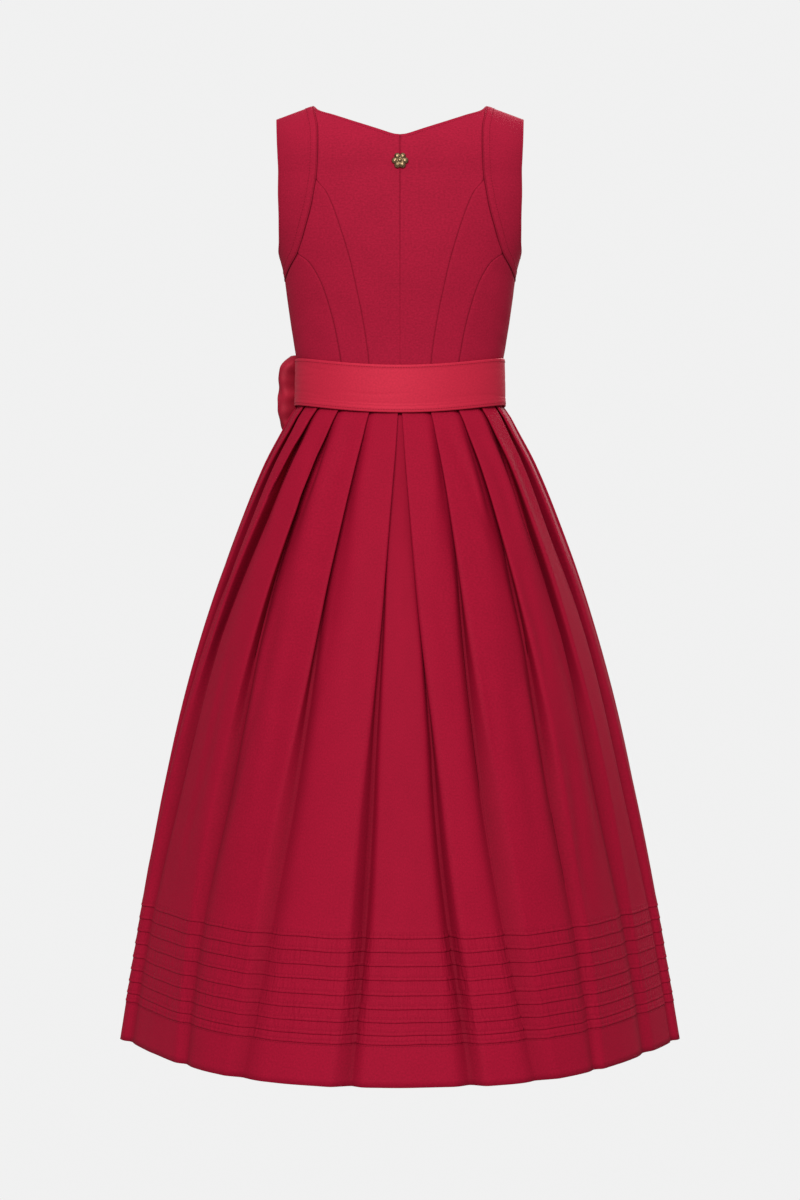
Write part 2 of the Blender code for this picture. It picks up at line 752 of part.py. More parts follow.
def skirt_ring(level, shift):
    """The whole section at a level, from the centre front round the right side and the back, moved out
    by a shift along the normals of its own folds. Gives the points and the seams' places among them."""
    right_seams = [k for side, k in SKIRT_SEAMS if side == "right"]
    left_seams = [k for side, k in SKIRT_SEAMS if side == "left"]
    right, right_breaks = pleat_section(PLEATS_RIGHT, level, right_seams)
    left, left_breaks = pleat_section(PLEATS_LEFT, level, left_seams)
    middle = (0.0, (right[0][1] + left[0][1]) / 2)
    section = [(-angle, height) for angle, height in reversed(right[1:])] + [middle] + left[1:]
    breaks = sorted([len(right) - b for b in right_breaks] + [len(right) - 1 + b for b in left_breaks])
    line = [skirt_point(angle, level, height - SKIRT_WALL / 2) for angle, height in section]
    moved = []
    for i, p in enumerate(line):
        before = line[i - 1] if i else line[-2]
        after = line[i + 1] if i + 1 < len(line) else line[1]
        if i in breaks:
            before = line[i - 2]
        if i + 1 in breaks:
            after = line[i + 2]
        first, second = (p - before).to_2d().normalized(), (after - p).to_2d().normalized()
        tangent = (first + second).normalized()
        spread = max(0.55, tangent.dot(second))
        normal = Vector((-tangent.y, tangent.x, 0.0))
        moved.append(p + normal * shift / spread)
    return moved, breaks


def skirt_rows():
    """Levels and shifts of the outer rows; each tuck stands out at its lower edge and steps back."""
    rows = [(level, SKIRT_WALL / 2) for level in SKIRT_ROWS]
    for edge in TUCK_EDGES:
        rows.append((edge, SKIRT_WALL / 2 + TUCK_RISE))
        rows.append((edge - TUCK_STEP, SKIRT_WALL / 2))
    rows.append((HEM, SKIRT_WALL / 2))
    return rows


def make_skirt(material, collection):
    """Three widths of cloth. The tucks are raised on the outside alone; the inside stays plain."""
    outer = [(level, *skirt_ring(level, shift)) for level, shift in skirt_rows()]
    inner = [(level, *skirt_ring(level, -SKIRT_WALL / 2)) for level in SKIRT_ROWS + (HEM,)]
    breaks = outer[0][2]
    count = len(outer[0][1])
    spans = (
        ("skirt_right_front", list(range(breaks[0], breaks[1]))),
        ("skirt_back", list(range(breaks[1], breaks[2]))),
        ("skirt_left_front", list(range(breaks[2], count - 1)) + list(range(breaks[0]))),
    )
    for name, columns in spans:
        outside = [[ring[c].copy() for c in columns] for level, ring, _ in outer]
        inside = [[ring[c].copy() for c in columns] for level, ring, _ in inner]
        for p in outside[0] + inside[0]:
            p.z -= SEAM / 2
        walled(name, outside, inside, material, collection)


def sash_point(angle, share, out=0.0):
    half, back, front = (read_curve(SASH_FORM, share, i) for i in (1, 2, 3))
    depth = back if math.cos(angle) > 0 else front
    x, y = half * math.sin(angle), depth * power_cos(angle, BODY_POWER)
    normal = Vector((math.sin(angle) / half, power_cos(angle, 2.0 - BODY_POWER) / depth, 0.0)).normalized()
    return Vector((x, y, mix(SASH_TOP, SASH_BOTTOM, share) - dip(angle))) + normal * out


def make_sash(material, collection):
    """The sash runs from the knot round the back; the waistband closes the ring in front."""
    rows = 3
    for name, start, end, columns in (
        ("sash", SASH_SEAM_RIGHT, KNOT_ANGLE, 40),
        ("apron_waistband", KNOT_ANGLE, 360.0 + SASH_SEAM_RIGHT, 16),
    ):
        cut = math.degrees(SEAM / 2 / SASH_REACH)
        grid = [
            [sash_point(math.radians(mix(start + cut, end - cut, c / (columns - 1))), r / (rows - 1))
             for c in range(columns)]
            for r in range(rows)
        ]
        cloth(name, grid, material, collection)


def apron_out(level):
    return APRON_CLEAR + TUCK_RISE + APRON_WAVE * ease((SASH_BOTTOM - level) / 0.3)


def make_apron(material, collection):
    """The apron hangs on the skirt's front in soft gathers that open downwards."""
    levels = (-0.3733, -0.380, -0.395, -0.420, -0.470, -0.560, -0.680, -0.820, -0.980, APRON_HEM)
    columns = 3 * APRON_GATHERS + 1
    grid = []
    for r, level in enumerate(levels):
        share = (level - SASH_BOTTOM) / (APRON_HEM - SASH_BOTTOM)
        edge = mix(APRON_EDGE_WAIST, APRON_EDGE_HEM, share)
        line = []
        for c in range(columns):
            u = c / (columns - 1)
            angle = math.radians(mix(edge, 360.0 - edge, u))
            if r == 0:
                p = sash_point(angle, 1.0)
                p.z -= SEAM
            else:
                wave = 0.5 + 0.5 * math.cos(2 * math.pi * APRON_GATHERS * u)
                reach_out = APRON_CLEAR + TUCK_RISE + (apron_out(level) - APRON_CLEAR - TUCK_RISE) * wave
                p = skirt_point(angle, level, reach_out)
            line.append(p)
        grid.append(line)
    cloth("apron", grid, material, collection)


def bow_frame():
    """The knot's centre, and the directions towards the back, outwards and up."""
    angle = math.radians(KNOT_ANGLE)
    share = (KNOT_LEVEL - SASH_TOP) / (SASH_BOTTOM - SASH_TOP)
    surface = sash_point(angle, share, WALL / 2)
    out = (sash_point(angle, share, 1.0) - sash_point(angle, share)).normalized()
    back = Vector((0.0, 0.0, 1.0)).cross(out)
    if back.y < 0:
        back.negate()
    centre = surface + out * (KNOT_HALF[1] + SEAM)
    centre.z = KNOT_LEVEL
    return centre, back, out


def make_bow(material, collection):
    centre, back, out = bow_frame()
    up = Vector((0.0, 0.0, 1.0))

    # Knot: a firm wrap, a little narrower in the middle of its height than an egg
    bpy.ops.mesh.primitive_uv_sphere_add(segments=14, ring_count=8, radius=1.0)
    knot = bpy.context.object
    knot.name = "bow_knot"
    knot.data.name = "bow_knot"
    for vertex in knot.data.vertices:
        x, y, z = vertex.co
        barrel = 1.0 + 0.12 * (1.0 - z * z)
        place = back * (KNOT_HALF[0] * x * barrel) + out * (KNOT_HALF[1] * y) + up * (KNOT_HALF[2] * z)
        vertex.co = centre + place
    work = bmesh.new()
    work.from_mesh(knot.data)
    bmesh.ops.recalc_face_normals(work, faces=work.faces)
    work.to_mesh(knot.data)
    work.free()
    knot.data.materials.append(material)
    knot.data.shade_smooth()
    for home in list(knot.users_collection):
        home.objects.unlink(knot)
    collection.objects.link(knot)

    # Loops: a band that leaves the knot, turns at its far end and comes back, gathered at the knot
    plan = list(LOOP_PLAN) + [(share, -width) for share, width in reversed(LOOP_PLAN[:-1])]
    rows = 6
    for name, sign in (("bow_loop_back", 1.0), ("bow_loop_front", -1.0)):
        grid = []
        for r in range(rows):
            high = 0.5 - r / (rows - 1)
            line = []
            for share, aside in plan:
                spread = ease((share - 0.2) / 0.75)
                height = mix(LOOP_ROOT_HEIGHT, LOOP_END_HEIGHT, spread)
                crease = LOOP_CREASE * math.cos(4 * math.pi * high) * (1 - spread)
                crease = math.copysign(crease, crease * aside)
                droop = -LOOP_DROOP * spread
                p = centre + back * (sign * LOOP_LENGTH * share) + out * (aside + crease)
                p += up * (high * height + droop)
                line.append(p)
            grid.append(line if sign < 0 else list(reversed(line)))
        cloth(name, grid, material, collection)

    # Tails: two lengths of the same band that hang from under the knot over the apron
    for name, top_angle, end_angle, top_level, end_level, lift in TAILS:
        grid = []
        steps = 12
        for r in range(steps):
            share = r / (steps - 1)
            level = mix(top_level, end_level, share)
            settled = ease((top_level - level) / 0.060)
            width = mix(TAIL_TOP_WIDTH, TAIL_WIDTH, settled)
            middle = math.radians(mix(top_angle, end_angle, share))
            away = mix(TAIL_ROOT, apron_out(level), settled) + lift
            line = []
            for c in range(4):
                aside = (c / 3 - 0.5) * width
                angle = middle + aside / reach(middle, level)
                wave = TAIL_WAVE * (1.0 + math.sin(6.0 * share + 2.5 * c) * settled)
                p = skirt_point(angle, level, away + wave)
                if r == steps - 1:
                    p.z -= aside * TAIL_SLANT
                line.append(p)
            grid.append(line)
        cloth(name, grid, material, collection)


def make_placket(material, metal, collection):
    """A narrow strip on the centre front edge, and six domed buttons on it."""
    rows = 9
    grid = []
    for r in range(rows):
        distance = down(mix(PLACKET_TOP, PLACKET_BOTTOM, r / (rows - 1)))
        line = []
        for c in range(3):
            angle = math.pi + (c - 1) * PLACKET_HALF / SEAM_REACH
            p, normal = bodice_frame(angle, distance)
            line.append(p + normal * (WALL + 2 * SEAM))
        grid.append(line)
    cloth("placket", grid, material, collection)

    for k in range(BUTTONS):
        p, normal = bodice_frame(math.pi, down(BUTTON_TOP - k * BUTTON_SPACING))
        seat = p + normal * (1.5 * WALL + 3 * SEAM)
        mesh = bpy.data.meshes.new("button_%d" % (k + 1))
        work = bmesh.new()
        bmesh.ops.create_cone(
            work, cap_ends=True, segments=12, depth=BUTTON_HEIGHT,
            radius1=BUTTON_RADIUS, radius2=0.62 * BUTTON_RADIUS,
        )
        work.to_mesh(mesh)
        work.free()
        mesh.materials.append(metal)
        button = bpy.data.objects.new(mesh.name, mesh)
        button.rotation_mode = "QUATERNION"
        button.rotation_quaternion = normal.to_track_quat("Z", "Y")
        button.location = seat + normal * (BUTTON_HEIGHT / 2)
        collection.objects.link(button)


def make_pin(metal, collection):
    """A cast blossom with six petals round a low dome, pinned on the centre back seam."""
    p, normal = bodice_frame(0.0, down(PIN_LEVEL))
    seat = p + normal * (WALL / 2 + SEAM)
    right = Vector((1.0, 0.0, 0.0))
    up = normal.cross(right)
    count = 4 * PIN_PETALS
    points = [seat + normal * PIN_RINGS[0][1]]
    for share, height in PIN_RINGS[1:]:
        lobed = ease((share - 0.2) / 0.5)
        for i in range(count):
            turn = 2 * math.pi * i / count
            petal = abs(math.cos(PIN_PETALS * turn / 2)) ** 0.7
            radius = PIN_RADIUS * share * mix(1.0, 0.74 + 0.26 * petal, lobed)
            raised = height * mix(1.0, 0.70 + 0.30 * petal, lobed)
            across, along = radius * math.cos(turn), radius * math.sin(turn)
            points.append(seat + right * across + up * along + normal * raised)
    faces = [(0, 1 + i, 1 + (i + 1) % count) for i in range(count)]
    for ring in range(len(PIN_RINGS) - 2):
        start = 1 + ring * count
        for i in range(count):
            j = (i + 1) % count
            faces.append((start + i, start + count + i, start + count + j, start + j))
    last = 1 + (len(PIN_RINGS) - 2) * count
    faces.append(tuple(last + i for i in reversed(range(count))))
    finish_mesh("pin", points, faces, metal, collection)


def build():
    clear_scene()
    collection = bpy.data.collections.new("dirndl")
    bpy.context.scene.collection.children.link(collection)
    bodice_red = new_material("bodice_cloth", (0.380, 0.0092, 0.0362), 0.80)
    skirt_red = new_material("skirt_cloth", (0.335, 0.0042, 0.0262), 0.82)
    satin = new_material("sash_satin", (0.545, 0.0195, 0.0505), 0.50)
    brass = new_material("antique_brass", (0.245, 0.173, 0.095), 0.42, 1.0)
    make_bodice(bodice_red, collection)
    make_bands(bodice_red, collection)
    make_piping(bodice_red, collection)
    make_placket(bodice_red, brass, collection)
    make_skirt(skirt_red, collection)
    make_sash(satin, collection)
    make_apron(satin, collection)
    make_bow(satin, collection)
    make_pin(brass, collection)


build()
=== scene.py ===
"""The looks of a dirndl that is worn by nobody: fitted bodice, pleated skirt with sewn tucks, satin apron,
sash and bow. Metres, +Z up, the front faces -Y and the wearer's left is +X. Angles run round the body
from the centre back, towards the wearer's left, and levels are heights below the tops of the shoulders."""

import math

import bmesh
import bpy
import numpy as np
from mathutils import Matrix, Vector, noise


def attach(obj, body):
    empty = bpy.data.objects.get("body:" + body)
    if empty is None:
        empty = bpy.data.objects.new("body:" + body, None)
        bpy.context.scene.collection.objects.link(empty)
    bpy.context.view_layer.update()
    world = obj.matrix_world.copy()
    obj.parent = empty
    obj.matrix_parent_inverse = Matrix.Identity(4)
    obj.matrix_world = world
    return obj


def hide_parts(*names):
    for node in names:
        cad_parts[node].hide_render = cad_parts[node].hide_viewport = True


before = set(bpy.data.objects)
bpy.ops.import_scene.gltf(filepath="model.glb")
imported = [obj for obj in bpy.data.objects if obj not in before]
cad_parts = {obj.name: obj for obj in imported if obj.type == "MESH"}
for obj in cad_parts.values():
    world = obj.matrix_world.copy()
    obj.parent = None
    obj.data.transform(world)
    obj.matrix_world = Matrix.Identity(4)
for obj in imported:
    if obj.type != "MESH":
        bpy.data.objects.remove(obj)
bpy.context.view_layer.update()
MM = 0.001


# The studio: a pale room all round that lights the cloth softly, a broad lamp above the camera and a
# little to its left, one as broad from the far side, and a faint one from above. The camera is level with
# the middle of the dress.
PAPER = 0.877
ROOM_LIGHT = 0.34
CAMERA_DISTANCE = 2.8
CAMERA_LEVEL = -0.615
CAMERA_LENS = 67.2
SUNS = (
    # name, towards, strength, softness in degrees
    ("key_light", (0.10, 1.00, 0.62), 2.46, 30),
    ("top_light", (-0.30, 0.10, 1.00), 0.45, 60),
    ("far_light", (-0.40, -1.00, 0.60), 2.00, 30),
)


def filled(tree, node, inputs):
    """Fills a node's inputs, each with a value or from another node's output."""
    for name, value in inputs.items():
        if isinstance(value, bpy.types.NodeSocket):
            tree.links.new(value, node.inputs[name])
        else:
            node.inputs[name].default_value = value
    return node


def added(tree, kind, inputs=None):
    """A new node in a tree of nodes, with its inputs filled."""
    return filled(tree, tree.nodes.new(kind), inputs or {})


world = bpy.data.worlds.new("pale_room")
world.use_nodes = True
room = world.node_tree
room_light = room.nodes["Background"]
filled(room, room_light, {"Color": (1.0, 1.0, 1.0, 1.0), "Strength": ROOM_LIGHT})
room_seen = added(room, "ShaderNodeBackground", {"Color": (PAPER, PAPER, PAPER, 1.0), "Strength": 1.0})
room_ray = added(room, "ShaderNodeLightPath")
room_mix = added(room, "ShaderNodeMixShader", {
    "Fac": room_ray.outputs["Is Camera Ray"],
    1: room_light.outputs["Background"],
    2: room_seen.outputs["Background"],
})
filled(room, room.nodes["World Output"], {"Surface": room_mix.outputs["Shader"]})
bpy.context.scene.world = world
bpy.context.scene.view_settings.view_transform = "Standard"

for name, towards, strength, softness in SUNS:
    lamp = bpy.data.lights.new(name, "SUN")
    lamp.energy = strength
    lamp.angle = math.radians(softness)
    light = bpy.data.objects.new(name, lamp)
    light.rotation_mode = "QUATERNION"
    light.rotation_quaternion = Vector(towards).to_track_quat("Z", "Y")
    bpy.context.scene.collection.objects.link(light)

view = bpy.data.cameras.new("camera")
view.lens = CAMERA_LENS
camera = bpy.data.objects.new("camera", view)
camera.location = (0.0, CAMERA_DISTANCE, CAMERA_LEVEL)
camera.rotation_euler = (math.radians(90), 0.0, math.radians(180))
bpy.context.scene.collection.objects.link(camera)
bpy.context.scene.camera = camera


# The bodice: five panels a side of firm, finely woven crimson cloth, sewn edge to edge. Its seams lie
# flat and pressed open, so each one shows as a thin furrow, with painted shade, between two faint ridges.
BODICE_WALL = 1.2 * MM
SEAM = 0.3 * MM
FINE = 0.01 * MM
PIPING_RADIUS = 1.1 * MM
PIPED_SPACE = 0.8 * MM
SEAM_START = 2.0 * MM
STRAP_START = 12.0 * MM
SHOULDER_ROUND = 0.090
SHOULDER_SLOPE = 0.35
NECK_POINT = 0.110
BODY_POWER = 0.87
WAIST = -0.352
DIP_BACK = 0.015
DIP_FRONT = 0.008
SEAM_ROLL = 0.85 * MM
SEAM_ROLL_WIDTH = 2.4 * MM
# Shade painted into the cloth's colour along each seam's furrow: how dark, and over what width.
SEAM_SHADE = 0.60
SEAM_SHADE_WIDTH = 1.6 * MM
ALLOWANCE = 9.0 * MM
ALLOWANCE_EDGE = 1.5 * MM
ALLOWANCE_RISE = 0.16 * MM
RIM = 0.12
TOP_FADE = 4
# Metres round the body for each radian: where the seams run, over the panels, at the side seam, at the
# centre seams and under the placket
SEAM_REACH = 0.12
PANEL_REACH = 0.115
SIDE_REACH = 0.09
CENTRE_REACH = 0.165
PLACKET_REACH = 0.118
LEAST_REACH = 0.03
NORMAL_STEP = 0.5 * MM
NORMAL_REACH = 0.1
CREASE_BEND = 0.15
CREASE_TURNS = 9.0
CREASE_FADE = 2.0
BODICE_RED = (0.380, 0.0092, 0.0362)
BODICE_FORM = (
    # level, half_width, back, front
    (-0.090, 0.1650, 0.0870, 0.0900),
    (-0.120, 0.1645, 0.0905, 0.1080),
    (-0.150, 0.1600, 0.0925, 0.1200),
    (-0.180, 0.1520, 0.0935, 0.1260),
    (-0.210, 0.1442, 0.0925, 0.1250),
    (-0.240, 0.1400, 0.0900, 0.1180),
    (-0.275, 0.1350, 0.0862, 0.1090),
    (-0.305, 0.1302, 0.0835, 0.1020),
    (-0.325, 0.1262, 0.0822, 0.0985),
    (-0.352, 0.1225, 0.0818, 0.0965),
    (-0.372, 0.1215, 0.0818, 0.0965),
)
BAND_BACK = (
    # level, degrees
    (0.000, 41.5),
    (-0.018, 39.4),
    (-0.034, 38.0),
    (-0.069, 37.7),
    (-0.102, 38.6),
    (-0.137, 42.4),
    (-0.168, 49.6),
    (-0.190, 57.8),
    (-0.203, 68.0),
    (-0.213, 79.0),
    (-0.2165, 90.0),
)
INNER_BACK = (
    # level, degrees
    (-0.102, 38.6),
    (-0.117, 33.3),
    (-0.142, 29.5),
    (-0.176, 26.5),
    (-0.216, 23.6),
    (-0.266, 20.0),
    (-0.311, 17.8),
    (-0.352, 17.2),
)
OUTER_BACK = (
    # level, degrees
    (-0.190, 57.8),
    (-0.201, 50.2),
    (-0.216, 45.6),
    (-0.232, 42.1),
    (-0.257, 38.8),
    (-0.286, 36.2),
    (-0.314, 35.0),
    (-0.352, 34.6),
)
BAND_FRONT = (
    # level, degrees
    (0.000, 138.5),
    (-0.034, 141.0),
    (-0.069, 143.0),
    (-0.104, 143.0),
    (-0.137, 139.5),
    (-0.168, 131.5),
    (-0.195, 120.0),
    (-0.211, 104.0),
    (-0.2165, 90.0),
)
PRINCESS_FRONT = (
    # level, degrees
    (-0.168, 131.5),
    (-0.185, 136.0),
    (-0.210, 140.5),
    (-0.245, 144.5),
    (-0.290, 147.3),
    (-0.352, 149.0),
)
NECKLINE_BACK = (
    # level, degrees
    (-0.0490, 0.0),
    (-0.0487, 2.0),
    (-0.0465, 4.4),
    (-0.0422, 8.3),
    (-0.0352, 14.8),
    (-0.0279, 21.5),
    (-0.0197, 28.7),
    (-0.0098, 37.6),
    (0.000, 41.5),
)
NECKLINE_FRONT = (
    # level, degrees
    (-0.157, 180.0),
    (-0.153, 170.0),
    (-0.143, 158.0),
    (-0.120, 150.0),
    (-0.080, 147.0),
    (-0.040, 145.0),
    (0.000, 140.0),
)
BODICE_CREASES = (
    # degrees, level, length, width, depth, lean in degrees from upright
    (62, -0.262, 0.060, 0.010, 0.9 * MM, 62),
    (70, -0.290, 0.048, 0.008, 0.8 * MM, 70),
    (52, -0.305, 0.040, 0.009, 0.6 * MM, 48),
    (-66, -0.270, 0.055, 0.010, 0.9 * MM, -64),
    (-74, -0.298, 0.045, 0.008, 0.8 * MM, -72),
    (-50, -0.300, 0.040, 0.010, 0.6 * MM, -50),
    (27, -0.300, 0.050, 0.012, 0.5 * MM, 30),
    (-24, -0.305, 0.045, 0.012, 0.5 * MM, -26),
    (8, -0.296, 0.050, 0.014, 0.4 * MM, 18),
    (-9, -0.140, 0.070, 0.020, 0.4 * MM, -8),
    (22, -0.190, 0.060, 0.016, 0.4 * MM, 20),
    (104, -0.270, 0.050, 0.009, 0.8 * MM, -60),
    (118, -0.296, 0.050, 0.009, 0.8 * MM, -52),
    (-102, -0.276, 0.050, 0.009, 0.8 * MM, 58),
    (-121, -0.300, 0.045, 0.010, 0.7 * MM, 50),
    (158, -0.290, 0.055, 0.011, 0.6 * MM, -34),
    (-160, -0.284, 0.050, 0.011, 0.6 * MM, 30),
    (152, -0.205, 0.045, 0.012, 0.5 * MM, -28),
    (-150, -0.212, 0.050, 0.012, 0.5 * MM, 32),
)


def mix(low, high, share):
    return low + (high - low) * share


def ease(share):
    share = min(1.0, max(0.0, share))
    return share * share * (3.0 - 2.0 * share)


def read_curve(rows, at, column, key=0):
    """The smooth curve through one column of a table, read at a value of its key column."""
    rows = sorted(rows, key=lambda row: row[key])
    at = min(max(at, rows[0][key]), rows[-1][key])
    i = 0
    while i < len(rows) - 2 and at > rows[i + 1][key]:
        i += 1

    def slope(j):
        low, high = max(j - 1, 0), min(j + 1, len(rows) - 1)
        return (rows[high][column] - rows[low][column]) / (rows[high][key] - rows[low][key])

    span = rows[i + 1][key] - rows[i][key]
    t = (at - rows[i][key]) / span
    start, end = rows[i][column], rows[i + 1][column]
    leaving = slope(i) * span - (end - start)
    arriving = slope(i + 1) * span - (end - start)
    return mix(start, end, t) + t * (1 - t) * ((1 - t) * leaving - t * arriving)


def power_cos(angle, power):
    c = math.cos(angle)
    return math.copysign(abs(c) ** power, c)


def dip(angle):
    """How far the waist line hangs below its level at the sides."""
    c = math.cos(angle)
    return (DIP_BACK if c > 0 else DIP_FRONT) * c * c


def down(level):
    """Distance down the bodice from the top of the shoulder, over its rounded top."""
    if level > -SHOULDER_ROUND:
        return SHOULDER_ROUND * math.acos(1.0 + level / SHOULDER_ROUND)
    return SHOULDER_ROUND * math.pi / 2 - SHOULDER_ROUND - level


def bodice_point(angle, distance):
    quarter = SHOULDER_ROUND * math.pi / 2
    if distance < quarter:
        turn = distance / SHOULDER_ROUND
        level = -SHOULDER_ROUND * (1.0 - math.cos(turn))
        share = math.sin(turn)
    else:
        level = -SHOULDER_ROUND - (distance - quarter)
        share = 1.0
    half = read_curve(BODICE_FORM, level, 1)
    depth = read_curve(BODICE_FORM, level, 2 if math.cos(angle) > 0 else 3) * share
    x = half * math.sin(angle)
    fall = SHOULDER_SLOPE * max(0.0, abs(x) - NECK_POINT) * ease(1.0 + level / SHOULDER_ROUND)
    return Vector((x, depth * power_cos(angle, BODY_POWER), level - fall))


def bodice_frame(angle, distance):
    """A point of the bodice, with its outward normal."""
    turn = NORMAL_STEP / NORMAL_REACH
    across = bodice_point(angle + turn, distance) - bodice_point(angle - turn, distance)
    below, above = distance + NORMAL_STEP, max(distance - NORMAL_STEP, 0.0)
    along = bodice_point(angle, below) - bodice_point(angle, above)
    return bodice_point(angle, distance), along.cross(across).normalized() * -1.0


def seam_lengths(nodes):
    """The length of a line from its first node to each of its nodes."""
    lengths = [0.0]
    for (a0, d0), (a1, d1) in zip(nodes, nodes[1:]):
        lengths.append(lengths[-1] + math.hypot((a1 - a0) * SEAM_REACH, d1 - d0))
    return lengths


def seam_nodes(table, count):
    """Points of a seam, as angle and distance down, evenly spaced along it."""
    rows = [(math.radians(row[1]), down(row[0])) for row in table]
    lengths = seam_lengths(rows)
    keyed = [(lengths[i], rows[i][0], rows[i][1]) for i in range(len(rows))]
    ends = [lengths[-1] * i / (count - 1) for i in range(count)]
    return [(read_curve(keyed, s, 1), read_curve(keyed, s, 2)) for s in ends]


def cut_seam(table, level):
    """The part of a seam down to a level that is one of its rows, and the part below it."""
    split = [i for i, row in enumerate(table) if abs(row[0] - level) < MM / 10][0]
    return table[: split + 1], table[split:]


def started(nodes, length):
    """A seam's nodes from a length along it onwards, clear of the piped seam that it starts from."""
    run = 0.0
    for i in range(len(nodes) - 1):
        (a0, d0), (a1, d1) = nodes[i], nodes[i + 1]
        step = math.hypot((a1 - a0) * SEAM_REACH, d1 - d0)
        if run + step > length:
            share = (length - run) / step
            return [(mix(a0, a1, share), mix(d0, d1, share))] + nodes[i + 1:]
        run += step
    return nodes[-2:]


def moved_seam(nodes, space):
    """A seam's nodes moved sideways on the cloth; a positive space moves towards greater angles."""
    moved = []
    for i, (angle, distance) in enumerate(nodes):
        a0, d0 = nodes[max(i - 1, 0)]
        a1, d1 = nodes[min(i + 1, len(nodes) - 1)]
        reach = (bodice_point(angle + 0.01, distance) - bodice_point(angle, distance)).length / 0.01
        reach = max(reach, LEAST_REACH)
        run, fall = (a1 - a0) * reach, d1 - d0
        size = math.hypot(run, fall)
        moved.append((angle + space * fall / size / reach, distance - space * run / size))
    return moved


def spread(nodes, shares):
    """Points at given shares of the length of a line of nodes."""
    lengths = seam_lengths(nodes)
    at = np.array(shares) * lengths[-1]
    angles = np.interp(at, lengths, [node[0] for node in nodes])
    distances = np.interp(at, lengths, [node[1] for node in nodes])
    return list(zip(angles.tolist(), distances.tolist()))


def edge_close(count):
    """Shares from 0 to 1 that lie closer together near both ends, where a seam rolls in."""
    ends = [0.0, 0.012, 0.026, 0.045, 0.070]
    inside = [mix(0.105, 0.895, i / (count - 1)) for i in range(count)]
    return ends + inside + [1.0 - share for share in reversed(ends)]


def patch(top, bottom, left, right, shares):
    """A grid of cloth coordinates between four edges, rows from the top down. The top edge's own curve
    dies out soon below it, so that the grid never folds over a side edge."""
    grid = []
    for r in range(len(left)):
        v = r / (len(left) - 1)
        line = []
        for c, u in enumerate(shares):
            line.append(tuple(
                mix(left[r][k], right[r][k], u)
                + (1 - v) ** TOP_FADE * (top[c][k] - mix(left[0][k], right[0][k], u))
                + v * (bottom[c][k] - mix(left[-1][k], right[-1][k], u))
                for k in range(2)
            ))
        grid.append(line)
    return grid


def waist_node(angle):
    return angle, down(WAIST) + dip(angle) - SEAM / 2


def to_waist(nodes, count):
    """Evenly spaced points of a seam that ends on the waist line."""
    line = spread(nodes, np.linspace(0, 1, count))
    line[-1] = waist_node(line[-1][0])
    return line


def waist_panel(name, top, left, right, shares, **sewing):
    """A panel and its mirror image whose lower edge is the waist line."""
    waist = [waist_node(mix(left[-1][0], right[-1][0], share)) for share in shares]
    bodice_panel(name, patch(top, waist, left, right, shares), **sewing)


def bodice_crease(angle, distance):
    """Depth of the listed creases at a point of the bodice; the sign of the angle gives the side."""
    total = 0.0
    for degrees, level, length, width, depth, lean in BODICE_CREASES:
        run = (angle - math.radians(degrees)) * PANEL_REACH
        fall = distance - down(level)
        if abs(run) > length or abs(fall) > length:
            continue
        turn = math.radians(lean)
        along = fall * math.cos(turn) + run * math.sin(turn)
        aside = -fall * math.sin(turn) + run * math.cos(turn)
        bend = aside + CREASE_BEND * width * math.sin(CREASE_TURNS * along / length)
        total += depth * math.exp(-((bend / width) ** 2) - (CREASE_FADE * along / length) ** 2)
    return total


def shaded(mesh, painted_shade):
    """Writes down how much shade is painted on each point of a mesh."""
    attribute = mesh.attributes.new("painted_shade", "FLOAT", "POINT")
    attribute.data.foreach_set("value", painted_shade.astype(np.float32))


